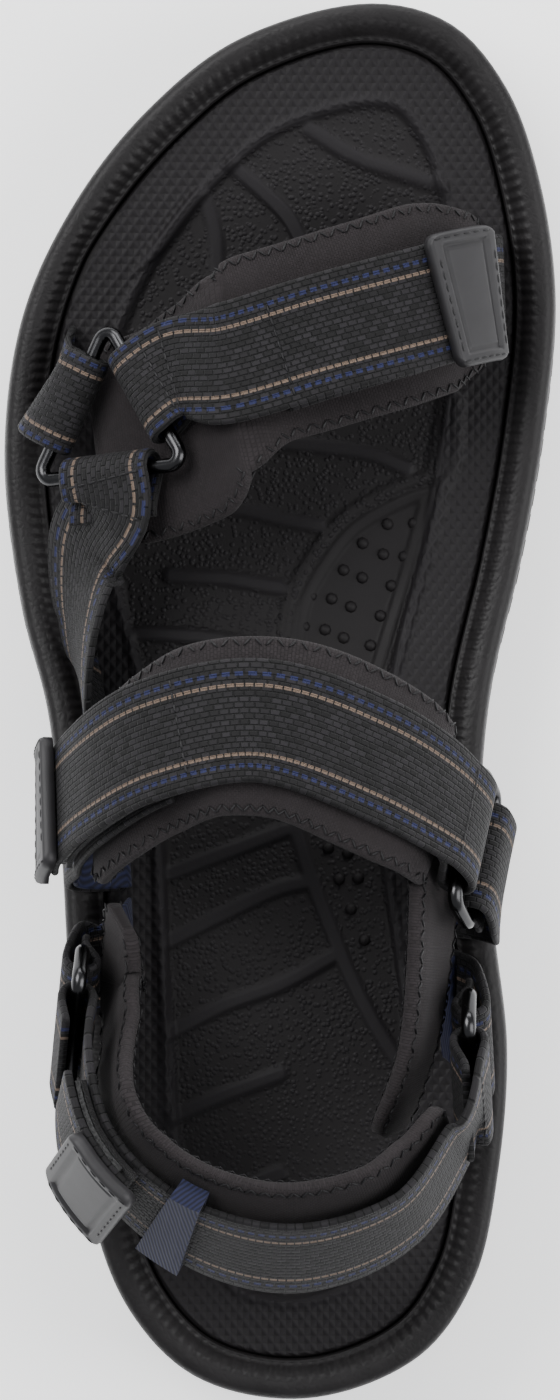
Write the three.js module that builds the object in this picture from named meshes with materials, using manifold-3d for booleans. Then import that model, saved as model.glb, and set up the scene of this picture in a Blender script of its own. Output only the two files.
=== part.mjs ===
// A left strappy sport sandal: a three-layer sole, padded webbing straps that thread through metal rings,
// and three hook-and-loop strap ends with rubber pull tabs.
// Millimetres, +Z up, +Y to the toe, +X to the big toe.
import * as THREE from "three";
import { mergeVertices } from "three/addons/utils/BufferGeometryUtils.js";
import Module from "manifold-3d";

const wasm = await Module();
wasm.setup();

// ---- Driving dimensions -------------------------------------------------------------------------------

const SOLE_LENGTH = 290;
const FOREFOOT_WIDTH = 116;
const HEEL_HEIGHT = 35; // ground to the foot's resting surface under the heel
const BALL_HEIGHT = 23; // the same under the ball of the foot
const TOE_SPRING = 9;
const INSTEP_HEIGHT = 66; // footbed to the top of the instep strap
const OUTSOLE_THICKNESS = 6;
const LUG_DEPTH = 3.4;
const GROOVE_WIDTH = 4;
const FOOTBED_THICKNESS = 5;
const RIM_WIDTH = 8.6;
const RIM_HEIGHT = 4.5;
const SHANK_THICKNESS = 2;

const WEB_WIDTH = 25;
const WEB_THICKNESS = 1.6;
const TAPE_THICKNESS = 1; // hook tape, loop tape and the navy lining tape
const PAD_THICKNESS = 3.5;
const TAB_THICKNESS = 2.6;
const TAB_LENGTH = 15;
const TAB_OVERHANG = 1.5; // how far a pull tab stands proud of each edge of its webbing

const WIRE_RADIUS = 1.5;
const RING_REACH = 11; // between the centrelines of a rectangular ring's two long bars
const RING_BAR = WEB_WIDTH + 6; // length of those bars, along the centreline
const DELTA_SIDE = WEB_WIDTH + 11;
const RING_CORNER = 3;
const DELTA_CORNER = 2.2;
const EYE_RADIUS = 3.2; // centreline of the webbing where it turns round a bar, with play for the bar
const EYE_TAIL = 10; // length of webbing sewn down behind a bar
const ANCHOR_TAIL = 7; // the same for the short webbing that comes up from the sole
const EYE_FLAT = 8; // from a bar to where the webbing's two layers lie flat on each other
const SHORT_FLAT = 6; // the same for the shortest anchor, whose tail ends there too
const TAIL_RUN = 2; // how much of a tail lies flat at its end
const GATHER = 6; // how much narrower the webbing is drawn in where it turns sharply into its slot
const SLOT_INSET = RIM_WIDTH + 3.6; // from the sole's edge to the middle of the webbing where it enters
const SLOT_DEPTH = 3;
const SLOT_RISE = 5;
const SLOT_PITCH = WEB_WIDTH + 1; // between the middles of neighbouring slots on one side

const GAP = 0.36; // between surfaces that touch
const SECTION_PITCH = 3; // between the cross sections of webbing and pads

// ---- Small helpers ------------------------------------------------------------------------------------

const V = (x, y, z) => new THREE.Vector3(x, y, z);
const unit = (x, y, z) => V(x, y, z).normalize();
const along = (from, ...steps) => {
  const p = from.clone();
  for (let i = 0; i < steps.length; i += 2) {
    p.addScaledVector(steps[i], steps[i + 1]);
  }
  return p;
};
const ease = (t) => {
  const c = THREE.MathUtils.clamp(t, 0, 1);
  return c * c * (3 - 2 * c);
};

// One closed surface from a list of triangles (each three points), with its faces pointing out.
function closedGeometry(triangles) {
  const volume = triangles.reduce((sum, [a, b, c]) => sum + a.dot(b.clone().cross(c)), 0);
  const facing = volume < 0 ? triangles.map(([a, b, c]) => [a, c, b]) : triangles;
  const positions = facing.flat().flatMap((p) => p.toArray());
  const geometry = new THREE.BufferGeometry();
  geometry.setAttribute("position", new THREE.Float32BufferAttribute(positions, 3));
  return mergeVertices(geometry, 1e-3);
}

// Joins equal sections into a solid: capped at both ends, or running round to its start.
function skin(sections, closed = false) {
  const triangles = [];
  const rows = closed ? [...sections, sections[0]] : sections;
  for (let i = 0; i + 1 < rows.length; i++) {
    const [a, b] = [rows[i], rows[i + 1]];
    a.forEach((_, k) => {
      const n = (k + 1) % a.length;
      triangles.push([a[k], b[k], b[n]], [a[k], b[n], a[n]]);
    });
  }
  if (!closed) {
    const [first, last] = [rows[0], rows.at(-1)];
    for (let k = 1; k + 1 < first.length; k++) {
      triangles.push([first[0], first[k], first[k + 1]], [last[0], last[k + 1], last[k]]);
    }
  }
  return closedGeometry(triangles);
}

// Booleans, on geometries in the part's own frame.
function toSolid(geometry) {
  const bare = geometry.clone();
  bare.deleteAttribute("normal");
  bare.deleteAttribute("uv");
  const merged = mergeVertices(bare, 1e-3);
  return new wasm.Manifold(
    new wasm.Mesh({
      numProp: 3,
      vertProperties: merged.attributes.position.array,
      triVerts: new Uint32Array(merged.index.array),
    }),
  );
}
function toGeometry(solid) {
  const mesh = solid.getMesh();
  const geometry = new THREE.BufferGeometry();
  geometry.setAttribute("position", new THREE.BufferAttribute(mesh.vertProperties, 3));
  geometry.setIndex(new THREE.BufferAttribute(mesh.triVerts, 1));
  return geometry;
}
const cut = (body, ...tools) =>
  toGeometry(tools.map(toSolid).reduce((left, tool) => left.subtract(tool), toSolid(body)));

const sandal = new THREE.Group();
function piece(name, geometry, finish) {
  const mesh = new THREE.Mesh(geometry, finish);
  mesh.name = name;
  sandal.add(mesh);
  return mesh;
}

const finish = (color, roughness, metalness = 0) =>
  new THREE.MeshStandardMaterial({ color, roughness, metalness });
const blackRubber = finish(0x242322, 0.75);
const midsoleFoam = finish(0x3a3837, 0.7);
const footbedFoam = finish(0x333132, 0.8);
const shankNylon = finish(0x202020, 0.5);
const stripedWebbing = finish(0x2a2829, 0.85);
const neoprene = finish(0x3b3537, 0.9);
const hookTape = finish(0x151515, 0.9);
const loopTape = finish(0x191919, 1.0);
const navyTape = finish(0x2a2d4a, 0.85);
const tabRubber = finish(0x4a4849, 0.55);
const gunmetal = finish(0x5a5a5c, 0.35, 1.0);

// ---- Sole ---------------------------------------------------------------------------------------------

// The widest outline, as shares of half the forefoot's width and half the sole's length, from the toe
// round the big-toe side to the heel and back up the little-toe side.
const OUTLINE = [
  [0.33, 1], [0.62, 0.97], [0.82, 0.88], [0.94, 0.75], [1, 0.58], [0.96, 0.39], [0.88, 0.21],
  [0.76, 0], [0.73, -0.19], [0.78, -0.35], [0.82, -0.5], [0.79, -0.67], [0.7, -0.83], [0.5, -0.94],
  [0.1, -1], [-0.3, -0.97], [-0.55, -0.87], [-0.7, -0.7], [-0.76, -0.42], [-0.79, -0.22],
  [-0.84, -0.02], [-0.94, 0.14], [-1, 0.36], [-0.93, 0.56], [-0.74, 0.72], [-0.48, 0.85], [-0.15, 0.95],
].map(([x, y]) => V((x * FOREFOOT_WIDTH) / 2, (y * SOLE_LENGTH) / 2, 0));
const edge = new THREE.CatmullRomCurve3(OUTLINE, true, "centripetal").getSpacedPoints(360);

// The spine runs up the middle of the sole. Rays go from it to the outline: level ones along its length,
// and a fan round each end.
const HEEL_CENTRE = V(4, -0.34 * SOLE_LENGTH, 0);
const TOE_CENTRE = V(4, 0.32 * SOLE_LENGTH, 0);
const SIDE_RAYS = 15;
const FAN_RAYS = 9;

function reach(from, direction) {
  let found = 0;
  for (let i = 0; i + 1 < edge.length; i++) {
    const [a, b] = [edge[i], edge[i + 1]];
    const [ex, ey, ax, ay] = [b.x - a.x, b.y - a.y, a.x - from.x, a.y - from.y];
    const cross = direction.x * ey - direction.y * ex;
    if (Math.abs(cross) < 1e-9) continue;
    const distance = (ax * ey - ay * ex) / cross;
    const share = (ax * direction.y - ay * direction.x) / cross;
    if (distance > found && share >= 0 && share < 1) found = distance;
  }
  return found;
}
const rays = [];
for (let i = 0; i <= SIDE_RAYS; i++) {
  rays.push([TOE_CENTRE.clone().lerp(HEEL_CENTRE, i / SIDE_RAYS), unit(1, 0, 0)]);
}
for (let i = 1; i <= FAN_RAYS; i++) {
  const angle = (-Math.PI * i) / (FAN_RAYS + 1);
  rays.push([HEEL_CENTRE, V(Math.cos(angle), Math.sin(angle), 0)]);
}
for (let i = SIDE_RAYS; i >= 0; i--) {
  rays.push([TOE_CENTRE.clone().lerp(HEEL_CENTRE, i / SIDE_RAYS), unit(-1, 0, 0)]);
}
for (let i = FAN_RAYS; i >= 1; i--) {
  const angle = (Math.PI * i) / (FAN_RAYS + 1);
  rays.push([TOE_CENTRE, V(Math.cos(angle), Math.sin(angle), 0)]);
}
for (const ray of rays) ray.push(reach(...ray));

// Heights that all three layers share.
const SPRING_START = 0.19 * SOLE_LENGTH;
const ground = (y) => TOE_SPRING * Math.max(0, (y - SPRING_START) / (SOLE_LENGTH / 2 - SPRING_START)) ** 2;
const bed = (y) => {
  const wedge = 1 - ease((y / SOLE_LENGTH + 0.26) / 0.4);
  return ground(y) + BALL_HEIGHT + (HEEL_HEIGHT - BALL_HEIGHT) * wedge;
};

// A ring of points at a distance inside the outline; "spine" puts it on the spine itself.
const hoop = (inset, height) =>
  rays.map(([from, direction, length]) => {
    const p = inset === "spine" ? from.clone() : along(from, direction, Math.max(length - inset, 0));
    p.z = height(p.y);
    return p;
  });

// A sole layer from its hoops, listed from the middle of the underside, round the edge, to the middle of
// the top.
function layer(hoops) {
  const triangles = [];
  const rows = hoops.map(([inset, height]) => hoop(inset, height));
  for (let i = 0; i + 1 < rows.length; i++) {
    const [a, b] = [rows[i], rows[i + 1]];
    a.forEach((_, k) => {
      const n = (k + 1) % a.length;
      if (a[k].distanceTo(a[n]) > 1e-6) triangles.push([a[k], b[n], a[n]]);
      if (b[k].distanceTo(b[n]) > 1e-6) triangles.push([a[k], b[k], b[n]]);
    });
  }
  return closedGeometry(triangles);
}

const outsoleTop = (y) => ground(y) + OUTSOLE_THICKNESS;
const cupFloor = (y) => bed(y) - FOOTBED_THICKNESS - GAP;
const box = (width, length, height, x, y, z, turn = 0) =>
  new THREE.BoxGeometry(width, length, height).rotateZ(turn).translate(x, y, z);

// Outsole: a rubber sheet whose underside is cut into lugs by cross grooves and one long groove.
const LUG_PITCH = 17;
const GROOVE_SLANT = 0.22;
const grooves = [];
for (let y = -0.43 * SOLE_LENGTH; y < 0.44 * SOLE_LENGTH; y += LUG_PITCH) {
  for (const side of [-1, 1]) {
    const x = (side * FOREFOOT_WIDTH) / 2.2;
    grooves.push(box(FOREFOOT_WIDTH, GROOVE_WIDTH, 2 * LUG_DEPTH, x, y, ground(y), side * GROOVE_SLANT));
  }
}
piece(
  "outsole",
  cut(
    layer([
      ["spine", ground],
      [9, ground],
      [3, (y) => ground(y) + 0.01],
      [1.5, (y) => ground(y) + 1.5],
      [1, outsoleTop],
      [9, outsoleTop],
      ["spine", outsoleTop],
    ]),
    ...grooves,
  ),
  blackRubber,
);

// Midsole: a foam cup whose rim stands above the footbed, with a pocket under it for the shank.
const SHANK_WIDTH = 30;
const SHANK_LENGTH = 110;
const SHANK_Y = -38;
const shankShape = (grow) => {
  const z = outsoleTop(0) + GAP + SHANK_THICKNESS / 2 + 0.01;
  const [width, length, height] = [SHANK_WIDTH, SHANK_LENGTH, SHANK_THICKNESS].map((size) => size + 2 * grow);
  return box(width, length, height, 0, SHANK_Y, z);
};
const midsoleBlank = layer([
  ["spine", (y) => outsoleTop(y) + GAP],
  [9, (y) => outsoleTop(y) + GAP],
  [1.6, (y) => outsoleTop(y) + GAP],
  [0, (y) => outsoleTop(y) + 5],
  [0.3, (y) => bed(y) - 3],
  [1.4, (y) => bed(y) + RIM_HEIGHT - 2],
  [3.4, (y) => bed(y) + RIM_HEIGHT],
  [6.2, (y) => bed(y) + RIM_HEIGHT - 0.6],
  [RIM_WIDTH, (y) => bed(y) + 1],
  [RIM_WIDTH, cupFloor],
  [16, cupFloor],
  ["spine", cupFloor],
]);
piece("midsole", cut(midsoleBlank, shankShape(GAP)), midsoleFoam);
piece("shank", shankShape(0), shankNylon);

// ---- Ribbons and routes -------------------------------------------------------------------------------

// A route is a smooth line with a direction away from the foot at each station. Its width direction is
// worked out, so that tangent x across = out.
class Route {
  constructor(stations) {
    this.line = new THREE.CatmullRomCurve3(stations.map(([p]) => p), false, "centripetal");
    this.line.arcLengthDivisions = 400;
    this.normals = new THREE.CatmullRomCurve3(stations.map(([, n]) => n), false, "centripetal");
    this.length = this.line.getLength();
    this.stations = stations;
  }
  frame(distance) {
    const t = this.line.getUtoTmapping(THREE.MathUtils.clamp(distance / this.length, 0, 1));
    const place = t * (this.stations.length - 1);
    const k = Math.min(Math.floor(place), this.stations.length - 2);
    const at = this.line.getPoint(t);
    const tangent = this.line.getTangent(t).normalize();
    const out = this.stations[k][1].clone().lerp(this.stations[k + 1][1], place - k);
    const across = out.cross(tangent).normalize();
    return { at, tangent, across, out: tangent.clone().cross(across) };
  }
  // The distance along the route of the section nearest to a point, searched between two distances.
  nearest(point, from = 0, to = this.length) {
    let best = to;
    for (let s = Math.ceil(from / SECTION_PITCH) * SECTION_PITCH; s <= to; s += SECTION_PITCH) {
      if (this.frame(s).at.distanceTo(point) < this.frame(best).at.distanceTo(point)) best = s;
    }
    return best;
  }
  // Stations that follow a stretch of this route at a lift above it (negative is towards the foot).
  follow(from, to, lift, count = 5) {
    return Array.from({ length: count }, (_, i) => {
      const distance = from + ((to - from) * i) / (count - 1);
      const f = this.frame(distance);
      return [along(f.at, f.out, read(lift, distance)), f.out];
    });
  }
}

const read = (value, distance) => (typeof value === "function" ? value(distance) : value);

// A value that eases from one level to the next between distances along a route, each [distance, level].
const levels = (...knots) => (distance) => {
  let value = knots[0][1];
  for (let i = 0; i + 1 < knots.length; i++) {
    const [[from, low], [to, high]] = [knots[i], knots[i + 1]];
    if (distance > from) value = low + (high - low) * ease((distance - from) / (to - from));
  }
  return value;
};
const shares = (route, ...knots) => levels(...knots.map(([share, level]) => [share * route.length, level]));

// Where a band turns sideways too fast for its inner edge, that edge bunches up: it never runs backwards.
const LEAST_STEP = 0.3;
function bunch(sections, tangents) {
  for (let i = 1; i < sections.length; i++) {
    const onward = tangents[i - 1].clone().add(tangents[i]).normalize();
    const step = (k) => sections[i][k].clone().sub(sections[i - 1][k]).dot(onward);
    for (const [inner, outer] of [[0, 3], [1, 2]]) {
      const push = Math.max(LEAST_STEP - Math.min(step(inner), step(outer)), 0);
      sections[i][inner].addScaledVector(onward, push);
      sections[i][outer].addScaledVector(onward, push);
    }
  }
  return sections;
}

// A flat band laid along a stretch of a route. lift moves it outwards and shift to the side; width, lift
// and shift may change with the distance along the route. Bands on one route share their cross sections.
function band(route, options = {}) {
  const { from = 0, to = route.length, width = WEB_WIDTH, thickness = WEB_THICKNESS } = options;
  const { lift = 0, shift = 0 } = options;
  const places = [from];
  for (let s = SECTION_PITCH; s < to - 0.4; s += SECTION_PITCH) {
    if (s > from + 0.4) places.push(s);
  }
  places.push(to);
  const frames = places.map((s) => route.frame(s));
  const sections = frames.map((f, i) => {
    const s = places[i];
    const side = read(width, s) / 2;
    const middle = along(f.at, f.out, read(lift, s), f.across, read(shift, s));
    const corner = (w, n) => along(middle, f.across, w * side, f.out, (n * thickness) / 2);
    return [corner(-1, -1), corner(1, -1), corner(1, 1), corner(-1, 1)];
  });
  return skin(bunch(sections, frames.map((f) => f.tangent)));
}

// Webbing that turns round a ring's bar: its end lies under the strap, goes round the bar and comes back
// on top. "into" points from the bar into the strap, and "out" away from the foot.
const EYE_TOP = EYE_RADIUS - 1.5;
const EYE_UNDER = EYE_TOP - WEB_THICKNESS - 1.5 * GAP;
function eye(bar, into, out, tail = EYE_TAIL, flat = EYE_FLAT) {
  const place = (s, n) => along(bar, into, s, out, n);
  const stations = [];
  const down = out.clone().negate();
  stations.push([place(tail, EYE_UNDER), down], [place(tail - TAIL_RUN, EYE_UNDER), down]);
  for (let i = 0; i <= 4; i++) {
    const angle = -Math.PI / 2 - (Math.PI * i) / 4;
    const normal = along(V(0, 0, 0), into, Math.cos(angle), out, Math.sin(angle));
    stations.push([along(bar, normal, EYE_RADIUS), normal]);
  }
  stations.push([place(flat, EYE_TOP), out]);
  return stations;
}
const reversed = (stations) => [...stations].reverse();

// A wire ring from the corners of its centreline.
function wireRing(corners, normal, corner) {
  const path = [];
  corners.forEach((tip, i) => {
    const before = corners.at(i - 1).clone().sub(tip).normalize();
    const after = corners[(i + 1) % corners.length].clone().sub(tip).normalize();
    const opening = before.angleTo(after);
    const centre = along(tip, before.clone().add(after).normalize(), corner / Math.sin(opening / 2));
    const start = along(tip, before, corner / Math.tan(opening / 2)).sub(centre);
    const end = along(tip, after, corner / Math.tan(opening / 2)).sub(centre);
    const axis = start.clone().cross(end).normalize();
    for (let k = 0; k <= 4; k++) {
      path.push(start.clone().applyAxisAngle(axis, ((Math.PI - opening) * k) / 4).add(centre));
    }
  });
  const sides = 10;
  const sections = path.map((p, i) => {
    const tangent = path[(i + 1) % path.length].clone().sub(path.at(i - 1)).normalize();
    const inward = tangent.clone().cross(normal);
    return Array.from({ length: sides }, (_, k) => {
      const angle = (2 * Math.PI * k) / sides;
      return along(p, inward, WIRE_RADIUS * Math.cos(angle), normal, WIRE_RADIUS * Math.sin(angle));
    });
  });
  return skin(sections, true);
}

// A rectangular ring that joins two straps: "span" points from the lower strap's bar to the upper's.
function rectangularRing(name, centre, span, towards) {
  const bar = towards.clone().cross(span).normalize();
  const out = span.clone().cross(bar).normalize();
  const corner = (s, b) => along(centre, span, (s * RING_REACH) / 2, bar, (b * RING_BAR) / 2);
  const corners = [corner(-1, -1), corner(1, -1), corner(1, 1), corner(-1, 1)];
  piece(name, wireRing(corners, out, RING_CORNER), gunmetal);
  const lower = along(centre, span, -RING_REACH / 2);
  const upper = along(centre, span, RING_REACH / 2);
  return { out, span, back: span.clone().negate(), lower, upper, bar };
}

// A place on the foot, given for a foot of one size and scaled to this one; z is its height above the
// footbed.
const FOOT = { length: 290, width: 116, instep: 66 };
const onSole = (y) => (y * SOLE_LENGTH) / FOOT.length;
const above = (x, at, z) =>
  V((x * FOREFOOT_WIDTH) / FOOT.width, at, bed(at) + (z * INSTEP_HEIGHT) / FOOT.instep);
const spot = (x, y, z) => above(x, onSole(y), z);

// Where webbing goes down into the footbed beside the rim, from the top down. Side is 1 for the big-toe
// side.
function slot(y, side) {
  const middle = V(HEEL_CENTRE.x, y, 0);
  const sideways = V(side, 0, 0);
  const beside = (at) => {
    const start = V(middle.x, at, 0);
    return along(start, sideways, reach(start, sideways) - SLOT_INSET);
  };
  const edgeway = beside(middle.y + 8).sub(beside(middle.y - 8)).normalize();
  const normal = edgeway.clone().cross(V(0, 0, side)).normalize();
  const floor = bed(middle.y);
  const at = (height) => along(beside(middle.y), V(0, 0, 1), floor + height);
  return [SLOT_RISE, 1, -SLOT_DEPTH].map((height) => [at(height), normal]);
}
const forefootSlot = onSole(84);
const forefootLateralSlot = onSole(66);
const instepSlot = onSole(-27);
const sideSlot = instepSlot + SLOT_PITCH;
const heelLateralSlot = instepSlot - SLOT_PITCH;
const instepMedialSlot = onSole(-36);
const heelMedialSlot = instepMedialSlot - SLOT_PITCH;

// The stack at a hook-and-loop closure, as lifts from the middle of the outer strap.
const HOOK_LIFT = -(WEB_THICKNESS + TAPE_THICKNESS) / 2 - GAP;
const LOOP_LIFT = HOOK_LIFT - TAPE_THICKNESS - GAP;
const BASE_LIFT = LOOP_LIFT - (WEB_THICKNESS + TAPE_THICKNESS) / 2 - GAP;
const PAD_LIFT = -(WEB_THICKNESS + PAD_THICKNESS) / 2 - GAP;
const TAB_LIFT = (WEB_THICKNESS + TAB_THICKNESS) / 2 + 1.4 * GAP;
const LINING_LIFT = -(WEB_THICKNESS + TAPE_THICKNESS) / 2 - GAP;
const TAB_WIDTH = WEB_WIDTH + 2 * TAB_OVERHANG;

// ---- Forefoot strap: lateral anchor, triangular ring, strap with a flap, and a medial anchor -----------

const deltaOut = unit(-0.5, 0.1, 0.86);
const deltaForward = unit(-0.1, 1, 0);
deltaForward.addScaledVector(deltaOut, -deltaForward.dot(deltaOut)).normalize();
const deltaMedial = deltaForward.clone().cross(deltaOut).normalize();
const deltaCentre = spot(-35, 57, 22);
const deltaCorner = (degrees) => {
  const angle = THREE.MathUtils.degToRad(degrees);
  const radius = DELTA_SIDE / Math.sqrt(3);
  return along(deltaCentre, deltaMedial, radius * Math.cos(angle), deltaForward, radius * Math.sin(angle));
};
piece("forefoot_ring", wireRing([90, 210, 330].map(deltaCorner), deltaOut, DELTA_CORNER), gunmetal);
const deltaBar = (degrees) => {
  const angle = THREE.MathUtils.degToRad(degrees);
  const into = along(V(0, 0, 0), deltaMedial, Math.cos(angle), deltaForward, Math.sin(angle));
  return [along(deltaCentre, into, DELTA_SIDE / Math.sqrt(12)), into, deltaOut];
};
const EYE_LENGTH = EYE_TAIL + Math.PI * EYE_RADIUS + EYE_FLAT;
const deltaWidth = levels([EYE_LENGTH + 2, DELTA_SIDE - 15], [EYE_LENGTH + 12, WEB_WIDTH]);

const forefootRoute = new Route([
  ...eye(...deltaBar(30)),
  [spot(-11, 68.5, 35.5), unit(-0.12, 0.1, 1)],
  [spot(8, 74, 37), unit(0.05, 0.1, 1)],
  [spot(26, 79, 33.5), unit(0.35, 0.1, 1)],
  [spot(40, 83, 24), unit(0.8, 0.1, 0.6)],
  [spot(46.5, 84, 13), unit(1, 0.05, 0.2)],
  ...slot(forefootSlot, 1),
]);
const forefootFold = forefootRoute.nearest(spot(-4, 71, 36.5));
const forefootEnd = forefootRoute.nearest(spot(40, 83, 24));
const loopStart = forefootFold + SECTION_PITCH;
piece(
  "forefoot_strap",
  band(forefootRoute, { to: forefootFold - GAP, width: deltaWidth }),
  stripedWebbing,
);
piece("forefoot_flap", band(forefootRoute, { from: forefootFold + GAP, to: forefootEnd }), stripedWebbing);
piece(
  "forefoot_hook_tape",
  band(forefootRoute, {
    from: loopStart,
    to: forefootEnd - SECTION_PITCH,
    lift: HOOK_LIFT,
    thickness: TAPE_THICKNESS,
    width: WEB_WIDTH - 3,
  }),
  hookTape,
);
piece(
  "forefoot_loop_tape",
  band(forefootRoute, {
    from: loopStart,
    to: forefootEnd,
    lift: LOOP_LIFT,
    thickness: TAPE_THICKNESS,
    width: WEB_WIDTH - 3,
  }),
  loopTape,
);
piece(
  "forefoot_pull_tab",
  band(forefootRoute, {
    from: forefootEnd - TAB_LENGTH + SECTION_PITCH,
    to: forefootEnd + SECTION_PITCH,
    lift: TAB_LIFT,
    thickness: TAB_THICKNESS,
    width: TAB_WIDTH,
  }),
  tabRubber,
);
const forefootAnchorLift = levels([forefootEnd, BASE_LIFT], [forefootEnd + 20, 0]);
piece(
  "forefoot_medial_anchor",
  band(forefootRoute, { from: loopStart, lift: forefootAnchorLift }),
  stripedWebbing,
);

const forefootLateralRoute = new Route([
  ...eye(...deltaBar(150), SHORT_FLAT, SHORT_FLAT),
  ...slot(forefootLateralSlot, -1),
]);
piece(
  "forefoot_lateral_anchor",
  band(forefootLateralRoute, { width: deltaWidth }),
  stripedWebbing,
);

const sideRoute = new Route([
  ...eye(...deltaBar(270)),
  [spot(-39.5, 31, 18.5), unit(-0.72, 0, 0.7)],
  [spot(-41.5, 16, 17), unit(-0.94, 0, 0.34)],
  [above(-40.5, sideSlot + 4, 13), unit(-1, 0, 0.1)],
  ...slot(sideSlot, -1),
]);
piece(
  "side_strap",
  band(sideRoute, { width: deltaWidth }),
  stripedWebbing,
);

const underDelta = EYE_RADIUS + WEB_THICKNESS / 2 + GAP + PAD_THICKNESS / 2 + 0.5;
const forefootPadLow = forefootRoute.length - SLOT_DEPTH - 5;
const forefootPadRoute = new Route([
  [along(deltaBar(150)[0], V(0, 1, 0), -2, deltaOut, -underDelta - 1.8), unit(-0.7, 0, 0.7)],
  [along(deltaCentre, deltaForward, 4, deltaOut, -underDelta - 0.5), deltaOut],
  [along(deltaBar(30)[0], deltaOut, -underDelta - 0.5), deltaOut],
  ...forefootRoute.follow(forefootFold - 9, forefootFold - 6, PAD_LIFT - 2, 2),
  ...forefootRoute.follow(loopStart + 7, forefootPadLow, (s) => forefootAnchorLift(s) + PAD_LIFT - 1.4, 7),
]);
piece(
  "forefoot_pad",
  band(forefootPadRoute, {
    thickness: PAD_THICKNESS,
    width: shares(forefootPadRoute, [0, 26], [0.2, 30], [0.45, 40], [0.8, 40], [1, 27]),
    shift: shares(forefootPadRoute, [0, 0], [0.4, 3], [1, 1]),
  }),
  neoprene,
);

// ---- Instep strap: medial anchor, ring, strap with a flap, and a lateral anchor ------------------------

const instepRing = rectangularRing(
  "instep_ring",
  above(39.5, instepMedialSlot + 6, 32),
  unit(-0.3, 0.55, 0.78),
  unit(0.93, 0, 0.36),
);
const instepRoute = new Route([
  ...eye(instepRing.upper, instepRing.span, instepRing.out),
  [spot(20, -12, 58), unit(0.45, 0.1, 0.9)],
  [spot(-4, -4, 66), unit(0, 0.2, 1)],
  [spot(-26, -8, 60), unit(-0.45, 0.15, 0.85)],
  [spot(-41, -17, 43), unit(-0.88, 0.1, 0.45)],
  [spot(-46, -24, 22), unit(-1, 0, 0.05)],
  [above(-42, instepSlot, 9), unit(-0.95, 0, -0.2)],
  ...slot(instepSlot, -1),
]);
const instepFold = instepRoute.nearest(spot(-22, -7, 62));
const instepEnd = instepRoute.nearest(spot(-46, -24, 22));
const instepAnchorLift = levels([instepEnd, BASE_LIFT], [instepEnd + 14, 0]);
piece("instep_strap", band(instepRoute, { to: instepFold - GAP }), stripedWebbing);
piece("instep_flap", band(instepRoute, { from: instepFold + GAP, to: instepEnd }), stripedWebbing);
piece(
  "instep_hook_tape",
  band(instepRoute, {
    from: instepFold + SECTION_PITCH,
    to: instepEnd - SECTION_PITCH,
    lift: HOOK_LIFT,
    thickness: TAPE_THICKNESS,
    width: WEB_WIDTH - 3,
  }),
  hookTape,
);
piece(
  "instep_loop_tape",
  band(instepRoute, {
    from: instepFold + SECTION_PITCH,
    to: instepEnd,
    lift: LOOP_LIFT,
    thickness: TAPE_THICKNESS,
    width: WEB_WIDTH - 3,
  }),
  loopTape,
);
piece(
  "instep_pull_tab",
  band(instepRoute, {
    from: instepEnd - TAB_LENGTH + SECTION_PITCH,
    to: instepEnd + SECTION_PITCH,
    lift: TAB_LIFT,
    thickness: TAB_THICKNESS,
    width: TAB_WIDTH,
  }),
  tabRubber,
);
piece(
  "instep_lateral_anchor",
  band(instepRoute, { from: instepFold + SECTION_PITCH, lift: instepAnchorLift }),
  stripedWebbing,
);
const instepMedialRoute = new Route([
  ...eye(instepRing.lower, instepRing.back, instepRing.out, ANCHOR_TAIL),
  [above(37.5, instepMedialSlot - 0.5, 12.5), unit(1, 0, -0.4)],
  ...slot(instepMedialSlot, 1),
]);
piece("instep_medial_anchor", band(instepMedialRoute, {}), stripedWebbing);
const instepPadLift = (s) => instepAnchorLift(s) + PAD_LIFT - 1;
const instepPadRoute = new Route([
  ...reversed(instepRoute.follow(instepFold + 8, instepEnd - 4, instepPadLift, 4)),
  ...reversed(instepRoute.follow(EYE_LENGTH + 8, instepFold - 9, PAD_LIFT - 1.5, 4)),
  [along(instepRing.upper, instepRing.out, -underDelta), instepRing.out],
  [spot(30.5, -50, 32), unit(1, 0, 0.3)],
  [spot(28, -70, 31), unit(1, -0.1, 0.3)],
  [spot(22, -88, 27), unit(0.8, -0.6, 0.3)],
]);
piece(
  "instep_pad",
  band(instepPadRoute, {
    thickness: PAD_THICKNESS,
    width: shares(instepPadRoute, [0, 34], [0.5, 36], [0.7, 26], [1, 18]),
  }),
  neoprene,
);

// ---- Heel strap: it turns round the lateral ring and comes back outside as a flap ----------------------

const heelSpan = unit(-0.05, -0.62, 0.78);
const heelMedialRing = rectangularRing(
  "heel_medial_ring",
  above(39, heelMedialSlot - 12, 26),
  heelSpan,
  unit(1, 0, 0.1),
);
const heelLateralRing = rectangularRing(
  "heel_lateral_ring",
  above(-41.5, heelLateralSlot - 12, 26),
  heelSpan,
  unit(-1, 0, 0.15),
);
const heelFlapGap = -BASE_LIFT;
const heelStations = [
  [above(36, heelMedialSlot - 27, 38), unit(0.95, -0.2, 0.25)],
  [above(25, heelMedialSlot - 42, 43.5), unit(0.6, -0.65, 0.45)],
  [above(3, heelMedialSlot - 49.5, 46), unit(0, -0.8, 0.6)],
  [above(-19, heelLateralSlot - 53, 44.5), unit(-0.55, -0.65, 0.5)],
  [above(-35.5, heelLateralSlot - 38, 42.5), unit(-0.88, -0.3, 0.35)],
];
const heelTurn = eye(heelLateralRing.upper, heelLateralRing.span, heelLateralRing.out).slice(2);
const beforeRing = (distance, ...rest) =>
  along(heelLateralRing.upper, heelLateralRing.span, distance, ...rest);
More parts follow.
